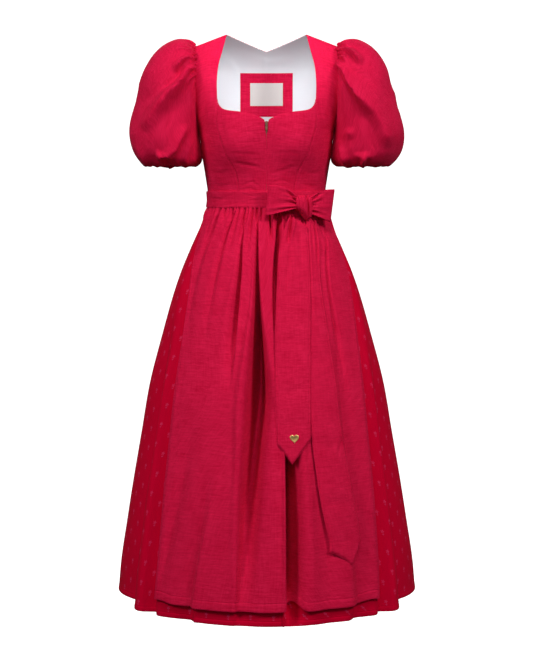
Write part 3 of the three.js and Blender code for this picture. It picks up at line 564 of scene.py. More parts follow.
def centre_front(creases, side):
    across = spaced(58, 0.004, 0.012, 0.025, 0.045, 0.07, 0.1)
    up = spaced(96, 0.003, 0.008, 0.015)
    a, u = np.meshgrid(across, up)
    top = look_up(NECK_FRONT, "height", a * NECK_FRONT["out"][-1], "out")
    height = np.maximum(top * u, SEAM / 2)
    start = look_up(CLOSING_EDGE, "out", height)
    end = look_up(PRINCESS_SEAM, "out", height) - SEAM / 2
    x = mix(start, end, a)
    face = bodice_form(angle_at(x, height, "front"), height, "front")
    depth = drawn_in(x - start, 0.6) + drawn_in(end - x) + drawn_in(top - height, 0.7) + drawn_in(height)
    depth += drawn_in(x - start - PLACKET_STITCH, 0.35, 0.9)
    return pressed_in(face, depth + creased(face, creases, side))


def side_front():
    across = spaced(40, 0.005, 0.015, 0.03, 0.05)
    up = spaced(138, 0.002, 0.005, 0.009)
    a, u = np.meshgrid(across, up)
    row = np.maximum(TOP_ROW * u, SEAM / 2)
    seam = np.where(
        row < NECK_CORNER, look_up(PRINCESS_SEAM, "out", row), look_up(NECK_SIDE, "out", row)
    )
    face = bodice_form(
        mix(angle_at(seam + SEAM / 2, row, "front"), outer_edge_angle(row, "front"), a),
        row, "front",
    )
    width = np.linalg.norm(face[:, -1:] - face[:, :1], axis=-1)
    depth = drawn_in(a * width) + drawn_in((1 - a) * width) + drawn_in(row) + drawn_in(TOP_ROW - row)
    return pressed_in(face, depth + creased(face, SIDE_FRONT_CREASES))


left_centre = centre_front(LEFT_FRONT_CREASES, 1)
right_centre = flipped(centre_front(RIGHT_FRONT_CREASES, -1))
left_side = side_front()
CENTRE_CUT = ((0.125, 0.225), "stretched", 0.0174)
SIDE_CUT = ((0.13, 0.39), "stretched", 0.0334)
FRONTS = (
    ("left_centre_front", "bodice_front_left", left_centre, CENTRE_CUT),
    ("right_centre_front", "bodice_front_right", right_centre, CENTRE_CUT),
    ("left_side_front", "bodice_side_left", left_side, SIDE_CUT),
    ("right_side_front", "bodice_side_right", flipped(left_side), SIDE_CUT),
)
for name, node, face, cut in FRONTS:
    sew(shell(name, face, LINEN_CLOTH), LINEN, "linen", [node], *cut)

# ---------------------------------------------------------------- bodice back and lining
# The back is one panel with a V neck. Inside it lie a pale grey lining, a linen patch and
# a satin label, which is left plain. The lining's own seam runs down the middle.
LINING_CLOTH, LABEL_CLOTH = 1.0, 0.8
LINING_LOW = 127
LINING_SEAM_OUT = 4
COTTON_THREAD = 0.5
SATIN_RIDGE = 0.45
# Low edge, high edge and half width of the blocks that are sewn inside the back.
PATCH_BLOCK = (193, 294, 61)
LABEL_BLOCK = (218, 271, 38)
# The back's columns keep even angles up to one row, and even widths from another one on.
EVEN_ANGLES_END, EVEN_WIDTHS_START = 70, 160
BACK_CREASES = (
    (((-120, 60), (-60, 54), (20, 62)), 4.5, 1.0, 0.4, 0.0),
    (((125, 46), (70, 40), (0, 46)), 4.0, 0.9, 0.4, 0.0),
    (((-118, 28), (-50, 24), (40, 30)), 3.6, 0.8, 0.3, 0.1),
    (((126, 88), (90, 84), (50, 92)), 5.0, 0.8, 0.4, 0.0),
    (((-146, 150), (-120, 180), (-108, 230)), 6.5, 1.4, 0.4, 0.0),
    (((146, 156), (122, 190), (116, 236)), 6.0, 1.2, 0.4, 0.0),
    (((-40, 330), (-60, 290), (-62, 250)), 6.0, 0.8, 0.2, 0.0),
    (((46, 326), (58, 296), (66, 262)), 5.5, 0.7, 0.2, 0.0),
)


def back_face(across, up, low_row=SEAM / 2, high_row=TOP_ROW, half_width=None):
    """The back's outer face, or the block of it within a half width and two rows."""
    a, u = np.meshgrid(across, up)
    row = mix(low_row, high_row, u)
    edge = outer_edge_angle(row, "back")
    by_angle = mix(edge, 2 * np.pi - edge, a)
    if half_width:
        out, share = half_width, 1.0
    else:
        armhole = look_up(ARMHOLE, "out", row)
        side_seam = look_up(BODICE_SECTIONS, "half_width", row) - 1
        out = np.where(row > UNDERARM, armhole, np.minimum(armhole, side_seam))
        share = np.clip((row - EVEN_ANGLES_END) / (EVEN_WIDTHS_START - EVEN_ANGLES_END), 0, 1)
    by_width = angle_at(mix(out, -out, a), row, "back")
    return bodice_form(mix(by_angle, by_width, share), row, "back"), a, row


face, a, row = back_face(spaced(101, 0.002, 0.005, 0.01), spaced(92, 0.002, 0.005))
width = np.abs(face[:, :1, 0]) * 2
depth = drawn_in(a * width) + drawn_in((1 - a) * width) + drawn_in(row) + drawn_in(TOP_ROW - row)
depth += creased(face, BACK_CREASES)
back = shell("back_panel", pressed_in(face, depth), LINEN_CLOTH)
sew(back, LINEN, "linen", ["bodice_back"], (0.41, 0.4), "stretched", 0.139)

LINING_CREASES = (
    (((-96, 330), (-70, 300), (-60, 240)), 7.0, 0.9, 0.2, 0.0),
    (((96, 320), (84, 280), (92, 220)), 7.0, 0.9, 0.2, 0.0),
    (((-100, 210), (-70, 196), (-64, 180)), 6.0, 0.7, 0.2, 0.0),
    (((-30, 330), (10, 318), (60, 330)), 5.0, 0.5, 0.2, 0.2),
    (((100, 180), (60, 170), (0, 178)), 5.0, 0.7, 0.2, 0.0),
)
lining = Finish("lining_cotton", Specular_IOR_Level=0.3, Sheen_Weight=0.1)
weft, warp = lining.cloth_place()
weave = lining.weave(weft, warp, COTTON_THREAD)
cloudy = lining.noise(weft * 14, warp * 14, 3.0)
streaks = lining.noise(weft * 20, warp * 600)
tone = (cloudy * 0.6 + streaks * 0.3 + weave * 0.08).clipped()
lining.set("Base Color", lining.blend(tone, colour(220, 223, 230), colour(232, 235, 240)))
lining.set("Roughness", 0.82 + cloudy * 0.1)
lining.bump(weave * 0.3 + streaks * 0.4, 0.4, 0.2 * MM)

face, a, row = back_face(spaced(75, 0.005), spaced(68, 0.005), LINING_LOW)
depth = LINEN_CLOTH + SEAM + drawn_in(face[..., 0] + LINING_SEAM_OUT, 0.6, 1.2)
depth += creased(face, LINING_CREASES)
inside = shell("back_lining", pressed_in(face, depth), LINING_CLOTH)
sew(inside, lining.material, "lining", ["bodice_lining_back"], (0.36, 0.29), "stretched", 0.09)


def sewn_block(name, block, across, up, depth, edge_depth, cloth):
    """A block of cloth sewn flat on the inside of the back, down along its edges."""
    low, high, half_width = block
    face, a, row = back_face(across, up, low, high, half_width)
    edge = np.minimum(np.minimum(a, 1 - a) * 2 * half_width, np.minimum(row - low, high - row))
    return shell(name, pressed_in(face, depth - drawn_in(edge, edge_depth)), cloth)


PATCH_DEPTH = LINEN_CLOTH + LINING_CLOTH + 2.2 * SEAM
patch = sewn_block(
    "label_patch_cloth", PATCH_BLOCK, spaced(50, 0.008, 0.02), spaced(44, 0.008, 0.02),
    PATCH_DEPTH, 0.3, LINING_CLOTH,
)
sew(patch, LINEN, "linen", ["label_patch"], (0.124, 0.103), "stretched")

satin = Finish("label_satin", Specular_IOR_Level=0.5, Sheen_Weight=0.2)
weft, warp = satin.cloth_place()
ridges = warp.turns(SATIN_RIDGE).sine()
floats = satin.noise(weft * 300, warp * 1500)
satin.set("Base Color", satin.blend(floats, colour(206, 200, 198), colour(221, 215, 213)))
satin.set("Roughness", 0.5 + floats * 0.15)
satin.bump(ridges * 0.4 + floats * 0.6, 0.35, 0.15 * MM)
LABEL_DEPTH = PATCH_DEPTH + LINING_CLOTH + SEAM
label = sewn_block(
    "plain_label", LABEL_BLOCK, spaced(36, 0.01, 0.03), spaced(26, 0.01, 0.03),
    LABEL_DEPTH, 0.25, LABEL_CLOTH,
)
sew(label, satin.material, "label", ["woven_label"], (0.078, 0.054), "stretched")

# ---------------------------------------------------------------- zip
# A woven tape with bronze-coloured teeth lies behind the closing edges. The slider and the
# pull tab are cast metal. The zip is closed, so its slider stands near the top.
TAPE_HALF_WIDTH, TAPE_BOTTOM, TAPE_TOP = 11, 2, 170
TAPE_BEHIND = LINEN_CLOTH + 1.2
TAPE_CLOTH = 1.0
TAPE_ROW, TAPE_WAVE = 0.9, 1.4
TOOTH_PITCH = 1.6
TEETH_BOTTOM, TEETH_TOP = 4, 162
TOOTH_SIZE = (2.6, 1.0, 1.1)
TOOTH_ASIDE, TOOTH_SUNK = 0.75, 0.05
TOOTH_BEVEL = 0.22

tape_finish = Finish("zip_tape_weave", Specular_IOR_Level=0.25, Sheen_Weight=0.1)
weft, warp = tape_finish.cloth_place()
rows = (warp.turns(TAPE_ROW) + weft.turns(TAPE_WAVE).sine() * 1.5).sine()
fine = tape_finish.noise(weft * 1500, warp * 1500)
tape_tone = (rows * 0.2 + fine * 0.5 + 0.2).clipped()
tape_finish.set("Base Color", tape_finish.blend(tape_tone, colour(120, 8, 34), colour(168, 20, 54)))
tape_finish.set("Roughness", 0.85 + fine * 0.1)
tape_finish.bump(rows * 0.5 + fine * 0.5, 0.5, 0.25 * MM)
x, height = np.meshgrid(
    np.linspace(-TAPE_HALF_WIDTH, TAPE_HALF_WIDTH, 25), np.linspace(TAPE_BOTTOM, TAPE_TOP, 130)
)
face = bodice_form(angle_at(x, height, "front"), height, "front")
tape = shell("zip_tape_cloth", pressed_in(face, np.full(x.shape, TAPE_BEHIND)), TAPE_CLOTH)
sew(tape, tape_finish.material, "zip_tape", ["zip_tape"], (0.022, 0.17), "stretched")


def metal_finish(name, dark, light, roughness):
    """Cast metal: a slightly cloudy polish with fine scratches, read in object space."""
    finish = Finish(name, Metallic=1.0)
    place = finish.node("ShaderNodeTexCoord", {}, {}, "Object")
    inputs = {"Vector": place, "Scale": 900.0, "Detail": 3.0}
    cloudy = finish.node("ShaderNodeTexNoise", {}, inputs)
    x, y, z = finish.split(place)
    scratches = finish.noise(x * 9000 + y * 3000, z * 900, 2.0)
    finish.set("Base Color", finish.blend(cloudy, dark, light))
    finish.set("Roughness", cloudy * 0.14 + scratches * 0.08 + roughness)
    finish.bump(scratches * 0.5 + cloudy * 0.5, 0.2, 0.05 * MM)
    return finish.material


ZIP_BRONZE = metal_finish("zip_bronze", colour(96, 62, 50), colour(176, 128, 108), 0.24)
for name in ("zip_slider", "zip_pull"):
    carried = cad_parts[name]
    carried.data.materials.clear()
    carried.data.materials.append(ZIP_BRONZE)

bpy.ops.mesh.primitive_cube_add(size=1)
tooth = bpy.context.object
bpy.ops.object.mode_set(mode="EDIT")
bpy.ops.transform.resize(value=[side * MM for side in TOOTH_SIZE])
bpy.ops.mesh.bevel(offset=TOOTH_BEVEL * MM, segments=1, affect="EDGES")
bpy.ops.object.mode_set(mode="OBJECT")
one_tooth = np.array([corner.co for corner in tooth.data.vertices])
tooth_faces = [tuple(polygon.vertices) for polygon in tooth.data.polygons]
bpy.data.objects.remove(tooth)
points, faces = [], []
for number, height in enumerate(np.arange(TEETH_BOTTOM, TEETH_TOP, TOOTH_PITCH / 2)):
    side = 1 if number % 2 else -1
    spot = bodice_form(np.array(0.0), np.array(height), "front")
    spot += (side * TOOTH_ASIDE, TAPE_BEHIND - TOOTH_SIZE[1] / 2 - TOOTH_SUNK, 0)
    faces += [tuple(corner + len(points) * len(one_tooth) for corner in face) for face in tooth_faces]
    points.append(one_tooth + spot * MM + (0, 0, WAIST))
teeth_mesh = bpy.data.meshes.new("zip_teeth")
teeth_mesh.from_pydata(np.concatenate(points), [], faces)
teeth_mesh.materials.append(ZIP_BRONZE)
teeth = bpy.data.objects.new("zip_teeth", teeth_mesh)
bpy.context.scene.collection.objects.link(teeth)
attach(teeth, "dress")

# ---------------------------------------------------------------- puff sleeves
# Each sleeve is one wide piece of linen, gathered into the armhole over its cap and
# gathered again into a narrow band, which the puff hides.
SLEEVE_CLOTH = 1.2
SLEEVE_GAP = 0.4
CAP_PLEATS, CUFF_TUCKS = 34, 30
FLOOR_ROUNDING, FOLD_FULLNESS = 0.02, 1.4
SLEEVE_RINGS = table(
    "number inner_x inner_z outer_x outer_z depth",
    (0, 152.5, 155, 162, 344, 62), (1, 152.4, 146, 176, 356, 72), (2, 151, 136, 204, 358, 82),
    (3, 149.2, 126, 240, 337, 90), (4, 147.4, 117, 268, 297, 95), (5, 146.2, 108, 283, 241, 98),
    (6, 145.3, 101, 301, 190, 99), (7, 145, 94, 308, 148, 97), (8, 148, 84, 299, 108, 90),
    (9, 157, 77, 276, 79, 70), (10, 160, 81, 266, 81, 53), (11, 166, 97, 258, 97, 46),
)
CUFF_RING = 11
# Each fold is a trough: the place of every station along it, how far its walls reach to
# the right and left of its run, and its depth; then how rounded its right and left lips are.
COURSE = "x height right left depth"
RIGHT_SLEEVE_FOLDS = (
    (((-157, 296, 3, 4, 4), (-175, 283, 5, 7, 10), (-187, 262, 6, 12, 17), (-204, 241, 9, 16, 21),
      (-217, 226, 15, 17, 21), (-228, 207, 19, 17, 19), (-242, 186, 23, 18, 14),
      (-257, 167, 25, 20, 8), (-268, 152, 25, 22, 0)), 0.25, 0.3),
    (((-159, 316, 2.5, 2.5, 4), (-175, 310, 4, 3, 6), (-187, 301, 7, 3.5, 11), (-195, 290, 9, 4, 12),
      (-201, 277, 9, 6, 0)), 0.4, 0.1),
    (((-159, 324, 2, 2, 4), (-171, 328, 2.5, 2.5, 4.5), (-187, 331, 3, 3, 3.5),
      (-204, 327, 4, 4, 0)), 0.3, 0.3),
    (((-158, 281, 2.5, 2, 4), (-170, 262, 4, 3, 5), (-178, 246, 5, 4, 0)), 0.4, 0.2),
    (((-177, 166, 10, 10, 0), (-181, 152, 12, 8, 6), (-191, 133, 13, 8, 10), (-201, 111, 12, 9, 12),
      (-214, 98, 9, 9, 10), (-230, 97, 6, 6, 7), (-240, 101, 5, 5, 0)), 0.5, 0.4),
    (((-239, 112, 4, 4, 0), (-236, 101, 6, 5, 4), (-232, 92, 6, 5, 5), (-226, 84, 5, 5, 3)), 0.4, 0.4),
    (((-262, 300, 10, 14, 0), (-280, 258, 14, 16, 4), (-292, 214, 14, 14, 0)), 0.6, 0.6),
    (((-168, 132, 6, 6, 0), (-173, 108, 7, 6, 5), (-178, 86, 7, 6, 4)), 0.6, 0.6),
    (((-286, 124, 8, 8, 0), (-272, 98, 9, 8, 5), (-262, 84, 7, 8, 4)), 0.5, 0.5),
    (((-198, 192, 3, 3, 0), (-217, 158, 3, 3, -1.4), (-230, 136, 3, 3, 0)), 0.5, 0.5),
)
LEFT_SLEEVE_FOLDS = (
    (((161, 302, 3, 4, 5), (171, 283, 5, 7, 12), (177, 264, 6, 14, 17), (187, 245, 7, 22, 21),
      (201, 222, 8, 28, 21), (216, 203, 10, 32, 18), (231, 187, 14, 30, 15), (246, 163, 18, 26, 12),
      (257, 139, 20, 22, 10), (262, 114, 20, 20, 0)), 0.2, 0.4),
    (((162, 334, 2.5, 3, 4), (172, 331, 3, 4, 6), (182, 325, 3.5, 7, 10), (191, 316, 4, 10, 13),
      (200, 306, 5, 11, 11), (209, 296, 7, 12, 0)), 0.12, 0.4),
    (((161, 345, 2, 2, 3), (172, 345, 2.5, 3, 5), (184, 339, 3, 4, 0)), 0.3, 0.3),
    (((161, 318, 2, 2, 4), (170, 313, 2.5, 3, 6), (178, 303, 3, 4, 0)), 0.3, 0.3),
    (((176, 158, 10, 12, 0), (180, 146, 11, 12, 5), (186, 132, 10, 10, 0)), 0.6, 0.6),
    (((162, 132, 4, 6, 0), (164, 112, 5, 7, 5), (169, 92, 5, 8, 7), (173, 82, 5, 8, 4)), 0.5, 0.4),
    (((216, 104, 5, 5, 0), (213, 93, 5, 4, 7), (211, 82, 5, 4, 4)), 0.3, 0.2),
    (((188, 99, 7, 5, 0), (210, 95, 8, 6, 6), (236, 96, 7, 6, 0)), 0.5, 0.4),
    (((227, 128, 3, 3, 0), (235, 112, 3, 3, -1.6), (243, 96, 3, 3, 0)), 0.5, 0.5),
    (((272, 262, 12, 12, 0), (284, 236, 12, 12, 4), (294, 208, 12, 12, 0)), 0.6, 0.6),
)
# Similar folds on the sleeves' backs, where they don't show from the front.
BACK_SLEEVE_FOLDS = (
    (((159, 304, 3, 4, 4), (172, 286, 5, 8, 12), (188, 262, 8, 16, 18), (208, 232, 12, 20, 17),
      (232, 204, 18, 22, 10), (250, 178, 20, 22, 0)), 0.3, 0.4),
    (((161, 328, 2.5, 3, 5), (178, 322, 4, 5, 8), (196, 310, 6, 8, 8), (212, 296, 8, 9, 0)), 0.3, 0.3),
    (((160, 276, 4, 4, 4), (170, 248, 7, 8, 8), (182, 214, 9, 9, 0)), 0.4, 0.4),
    (((208, 160, 9, 9, 0), (222, 126, 10, 9, 8), (222, 84, 7, 6, 10)), 0.4, 0.4),
    (((266, 144, 8, 8, 0), (258, 110, 8, 8, 7), (250, 84, 6, 6, 7)), 0.4, 0.4),
    (((172, 144, 7, 7, 0), (178, 112, 8, 8, 8), (186, 84, 7, 7, 8)), 0.4, 0.4),
)


def fold_wall(reach, lip):
    """Share of a fold's depth at a share of its reach: a V whose lip is more or less round."""
    return (np.sqrt((1 - reach) ** 2 + lip**2) + 1 - reach) / (1 + np.sqrt(1 + lip**2))


def draped_fold(x, height, stations, right_lip, left_lip):
    """How deep a fold that runs through these stations lies at each point."""
    course = table(COURSE, *stations)
    signed, station = beside_path(x, height, np.stack((course["x"], course["height"]), -1))
    right, left, depth = (
        np.interp(station, np.arange(len(stations)), course[name])
        for name in ("right", "left", "depth")
    )
    on_right = signed < 0
    reach = np.sqrt((signed / np.where(on_right, right, left)) ** 2 + FLOOR_ROUNDING)
    wall = fold_wall(reach, np.where(on_right, right_lip, left_lip)) * np.clip((4 - reach) / 2, 0, 1)
    swell = 0.1 * np.exp(-(((reach - 1.8) / 0.7) ** 2))
    return FOLD_FULLNESS * depth * (wall - swell)


def gathers(random, count, jitter, turn):
    """For each of a row of uneven gathers round a tube, how far round from it a turn lies."""
    for number in range(count):
        place = (number + 0.5 + random.uniform(-jitter, jitter)) * 2 * np.pi / count
        yield (turn - place + np.pi) % (2 * np.pi) - np.pi


def sleeve(folds, side, seed):
    """A sleeve built on the wearer's left; with side -1 it is one that is flipped later."""
    random = np.random.default_rng(seed)
    turn = np.linspace(0, 2 * np.pi, 221)
    along = np.concatenate(((0, 0.06, 0.14, 0.26, 0.42), np.linspace(0.6, CUFF_RING, 90)))
    t = turn[None, :]
    inner_x, inner_z, outer_x, outer_z, ring_depth = (
        SLEEVE_RINGS[name][:, None] for name in ("inner_x", "inner_z", "outer_x", "outer_z", "depth")
    )
    outward = (1 + np.cos(t)) / 2
    rings = np.stack(
        (mix(inner_x, outer_x, outward), -ring_depth * np.sin(t), mix(inner_z, outer_z, outward)), -1
    )
    row = UNDERARM + (TOP_ROW - UNDERARM) * (np.cos(turn) + 1) / 2
    for half, name in ((np.sin(turn) >= 0, "front"), (np.sin(turn) < 0, "back")):
        edge = bodice_form(angle_at(look_up(ARMHOLE, "out", row), row, name), row, name)
        rings[0, half] = (edge + (SLEEVE_GAP, 0, 0))[half]
    low = np.clip(np.floor(along).astype(int), 0, CUFF_RING - 1)
    step = (along - low)[:, None, None]
    before, after = rings[np.maximum(low - 1, 0)], rings[np.minimum(low + 2, CUFF_RING)]
    start, end = rings[low], rings[low + 1]
    face = curve(step, start, end, (end - before) / 2, (after - start) / 2)
    a = along[:, None]
    depth = np.zeros(face.shape[:2])
    cap = np.clip((np.cos(t) + 0.35) / 0.9, 0, 1) ** 0.7
    for away in gathers(random, CAP_PLEATS, 0.3, t):
        reach = random.uniform(0.45, 1.5)
        pleat = np.exp(-(away / (0.045 + 0.02 * a)) ** 2) * np.exp(-(a / reach) ** 2)
        depth += random.uniform(3.4, 7.0) * pleat * cap * np.clip(a / 0.15, 0.35, 1)
    for away in gathers(random, CUFF_TUCKS, 0.35, t):
        reach = random.uniform(0.5, 1.3)
        tuck = np.exp(-(away / 0.075) ** 2) * np.exp(-((CUFF_RING - a) / (reach * 1.5)) ** 2)
        depth += random.uniform(1.5, 4.0) * tuck
    swell = 3.2 * np.sin(3 * t + a * 0.9 + seed) * np.exp(-((a - 6) / 3.2) ** 2)
    swell += 2.2 * np.sin(5 * t - a * 1.3 + 2 * seed) * np.exp(-((a - 7.5) / 2.4) ** 2)
    depth += swell * 0.5 * np.clip((np.cos(t) + 0.9) / 0.5, 0, 1)
    front = np.clip(np.sin(t) * 4 + 0.5, 0, 1) * np.ones_like(a)
    for own_folds, share, way in ((folds, front, side), (BACK_SLEEVE_FOLDS, 1 - front, 1)):
        for fold in own_folds:
            depth += share * draped_fold(way * face[..., 0], face[..., 2], *fold)
    depth *= np.clip(a / 0.1, 0.3, 1)
    depth += drawn_in(a * 22, 1.2, 2.0)
    return pressed_in(face[:, ::-1], depth[:, ::-1], closed=True)


SLEEVES = (
    ("left_sleeve", "sleeve_left", LEFT_SLEEVE_FOLDS, 1),
    ("right_sleeve", "sleeve_right", RIGHT_SLEEVE_FOLDS, -1),
)
for name, node, folds, side in SLEEVES:
    face = sleeve(folds, side, seed=5 + side)
    piece = shell(name, face if side > 0 else flipped(face), SLEEVE_CLOTH, closed=True)
    sew(piece, LINEN, "linen", [node], (0.62, 0.36), "gathered", 0.17)

CUFF_CENTRE, CUFF_RADIUS, CUFF_BOTTOM, CUFF_TOP = 212, 46, 83, 94.7
turn, height = np.meshgrid(np.linspace(0, 2 * np.pi, 97), np.linspace(CUFF_BOTTOM, CUFF_TOP, 9))
CUFF_BANDS = (("left_cuff_band", "sleeve_band_left", 1), ("right_cuff_band", "sleeve_band_right", -1))
for name, node, side in CUFF_BANDS:
    bulge = 0.6 * np.sin(np.pi * (height - CUFF_BOTTOM) / (CUFF_TOP - CUFF_BOTTOM))
    ripple = 0.5 * np.sin(turn * 9 + side) * bulge
    radius = CUFF_RADIUS - 0.6 + bulge + ripple
    x = side * CUFF_CENTRE + radius * np.sin(turn)
    face = np.stack((x, -radius * np.cos(turn), height), -1)
    piece = shell(name, face, LINEN_CLOTH, closed=True)
    sew(piece, LINEN, "linen", [node], (0.289, 0.0117), "stretched")

# ---------------------------------------------------------------- skirt
# Four panels of cotton with a small woven blossom, gathered into the waist seam. The hem
# is turned up and stitched.
SKIRT_CLOTH = 1.2
SKIRT_SECTIONS = table(
    "height half_width front back roundness",
    (-876, 336, 290, 282, 2), (-804, 329, 283, 275, 2), (-722, 316, 273, 265, 2),
    (-629, 301, 260, 252, 2), (-520, 282, 240, 234, 2), (-405, 262, 217, 213, 2),
    (-294, 233, 189, 187, 2), (-213, 210, 166, 165, 2.05), (-160, 192, 150, 149, 2.1),
    (-107, 170, 132, 130, 2.15), (-55, 147, 112, 110, 2.2), (-16, 133, 95.5, 92.5, 2.3),
    (0, 130.5, 93, 90, 2.3),
)
APRON_EDGES = table(
    "height right left",
    (-876, -48.5, 49), (-846, -49, 49.5), (-768, -49, 51.5), (-650, -50, 53),
    (-527, -51.5, 55), (-390, -53.5, 58), (-228, -58, 65), (-170, -61, 69), (-100, -68, 74),
    (-35, -79, 81), (0, -86, 87),
)
SKIRT_HEM = -876
BACK_PANEL_EDGE = 132
FOLD_REACH = 30
# Every fold is a trough with its own course: the height and angle of each station, how wide
# it is towards the wearer's right and left in degrees, and its depth.
STATION = "height angle right left depth"
CRISP, EASY, SOFT = 0.07, 0.28, 0.6
KEEN, BLUNT, HOLLOW = 1.0, 1.5, 2.6
# The last words of each fold say how rounded its lips are, right and left, and its floor.
FRONT_FOLDS = (
    (((-876, -11, 1.8, 6.5, 5), (-819, -10.8, 1.8, 6, 10), (-722, -10.4, 2.2, 6.4, 28),
      (-622, -9.8, 2.7, 6.8, 50), (-520, -8.6, 3.3, 6.8, 78), (-419, -6.6, 4.6, 6.8, 112),
      (-309, -6.4, 3.6, 4.2, 94), (-223, -7, 2.2, 2.2, 54), (-107, -8.8, 1.1, 1.1, 18),
      (-60, -9.6, 0.9, 0.9, 7), (-24, -9.8, 0.9, 0.9, 0)), CRISP, EASY, HOLLOW),
    (((-876, 9.4, 1.3, 5.4, 14), (-845, 9.4, 1.3, 5.4, 34), (-780, 9.6, 1.3, 5.4, 66),
      (-690, 9.9, 1.3, 5.2, 84), (-590, 10.3, 1.3, 4.8, 82), (-500, 10.6, 1.3, 4, 56),
      (-400, 10.6, 1.3, 3, 0)), CRISP, EASY, BLUNT),
    (((-400, -21, 5, 1.6, 0), (-330, -20.6, 5, 1.4, 10), (-270, -20.4, 4.6, 1.2, 24),
      (-200, -20.4, 3.6, 1, 30), (-140, -21.2, 2.6, 1, 26), (-75, -24, 1.4, 1, 12),
      (-18, -25.4, 1, 1, 2)), EASY, CRISP, KEEN),
    (((-430, -51, 4, 4, 0), (-240, -55, 4, 4, 3), (-120, -57, 3.2, 3, 6), (-75, -56.5, 2.5, 2, 9),
      (-40, -55, 1.8, 1.6, 9), (-17, -54, 1.2, 1.2, 3)), EASY, EASY, KEEN),
    (((-320, -39, 4, 4, 0), (-200, -40.5, 3.2, 3, 5), (-120, -40.2, 2.4, 2.2, 9),
      (-75, -39.3, 1.8, 1.6, 12), (-40, -37.8, 1.4, 1.3, 11),
      (-17, -36.5, 1, 1, 3)), EASY, EASY, KEEN),
    (((-90, 4.2, 1.2, 1.2, 0), (-45, 4.6, 1.6, 1.6, 14), (-17, 4.8, 1.2, 1.2, 4)), EASY, EASY, KEEN),
    (((-300, 5.8, 1.4, 1.4, 0), (-200, 6.4, 2, 1.8, 20), (-130, 8.6, 2.4, 2.2, 30),
      (-90, 11.2, 2.6, 2.4, 30), (-60, 13.4, 2.4, 2.2, 24), (-40, 15.2, 2, 2, 16),
      (-17, 16.4, 1.4, 1.4, 4)), CRISP, CRISP, HOLLOW),
    (((-400, 46, 1.8, 1.6, 0), (-275, 46.6, 1.6, 1.2, 7), (-155, 48.7, 1.4, 1.1, 9),
      (-58, 61.8, 1.2, 1.1, 8), (-20, 66, 1, 1, 2)), CRISP, CRISP, KEEN),
    (((-876, -33.8, 7, 2.4, 12), (-740, -31.2, 6.5, 2.4, 11), (-655, -28.8, 5, 2.6, 6),
      (-560, -27, 4, 3, 0)), SOFT, CRISP, KEEN),
    (((-860, -47.8, 1, 1.6, 0), (-690, -44, 2.6, 4, 8), (-605, -41.5, 4, 4.5, 8),
      (-520, -39.6, 5, 5, 4), (-440, -39, 6, 5, 0)), CRISP, SOFT, KEEN),
    (((-876, 27, 5, 5, 5), (-480, 27, 5, 5, 12), (-300, 29, 4.5, 4.5, 10),
      (-90, 34, 2.5, 2.5, 0)), SOFT, SOFT, KEEN),
    (((-876, 40, 3, 8, 12), (-480, 42, 3, 6, 12), (-330, 44, 3, 4, 6),
      (-180, 48, 3, 3, 0)), EASY, SOFT, KEEN),
)
SIDE_FOLDS = (
    (((-876, -66.5, 14, 5, 46), (-650, -67, 12, 5, 34), (-480, -68, 10, 5.5, 22),
      (-250, -70, 7, 6, 0)), SOFT, CRISP, KEEN),
    (((-876, -52.2, 3.6, 3, 20), (-650, -54, 4, 3.4, 24), (-390, -58, 4.2, 3.6, 22),
      (-228, -63, 4, 3.4, 15), (-90, -73, 3, 3, 5), (-30, -80, 2, 2, 0)), EASY, EASY, KEEN),
    (((-876, 53, 3.2, 3.4, 20), (-650, 57, 3.8, 3.8, 24), (-390, 62.5, 4, 4, 20),
      (-228, 70, 3.6, 4, 14), (-90, 79, 3, 3, 5), (-30, 84, 2, 2, 0)), EASY, EASY, KEEN),
    (((-876, 67, 5, 14, 44), (-690, 67.5, 5, 12, 32), (-480, 70.5, 5, 9, 15),
      (-300, 73, 4, 6, 0)), CRISP, SOFT, KEEN),
)
# The folds that hang behind: angle at the waist and at the hem, where the fold starts,
# its width, and its depth half way and at the hem.
BACK_FOLDS = (
    (99, 101, -90, 5.5, 12, 20), (114, 117, -40, 6.5, 20, 34), (124, 125, -110, 4.0, 14, 18),
    (139, 142, -30, 7.0, 24, 36), (152, 156, -70, 4.5, 16, 22), (163, 168, -30, 6.5, 26, 30),
    (176, 180, -140, 4.0, 12, 20), (187, 190, -36, 7.5, 27, 38), (200, 203, -90, 4.5, 15, 20),
    (212, 215, -40, 6.5, 22, 30), (221, 221.5, -60, 5.0, 16, 26), (240, 241, -30, 7.5, 22, 36),
    (256, 255, -100, 5.0, 12, 22),
)


def hanging_fold(top_angle, hem_angle, start, width, middle_depth, hem_depth):
    middle = mix(top_angle, hem_angle, 0.5)
    stations = (
        (SKIRT_HEM, hem_angle, width * 1.2, width, hem_depth * 1.2),
        (-480, middle, width * 1.2, width, middle_depth * 1.4),
        (min(start - 80, -170), top_angle, width * 0.8, width * 0.7, middle_depth * 0.8),
        (start, top_angle, width * 0.4, width * 0.4, 0),
    )
    return stations, EASY, SOFT, KEEN


def small_gathers(seed, first, last, count, longest):
    """Small folds that start at the waist seam and soon run out."""
    random = np.random.default_rng(seed)
    pitch = (last - first) / count
    for number in range(count):
        angle = first + (number + 0.5 + random.uniform(-0.34, 0.34)) * pitch
        reach = random.uniform(0.2, 1.0) ** 1.6 * longest
        deep = random.uniform(4.5, 12.5)
        wide = pitch * random.uniform(0.22, 0.42)
        drift = random.uniform(-1.6, 1.6) - 0.03 * (angle if angle < 180 else angle - 360)
        stations = (
            (-30 - reach, angle + drift, wide * 1.5, wide * 1.5, 0),
            (-26 - reach * 0.4, angle + drift * 0.5, wide * 1.2, wide * 1.2, deep * 0.8),
            (-26, angle, wide, wide, deep),
            (-16, angle, wide * 0.8, wide * 0.8, deep * 0.35),
        )
        yield stations, EASY, EASY, KEEN


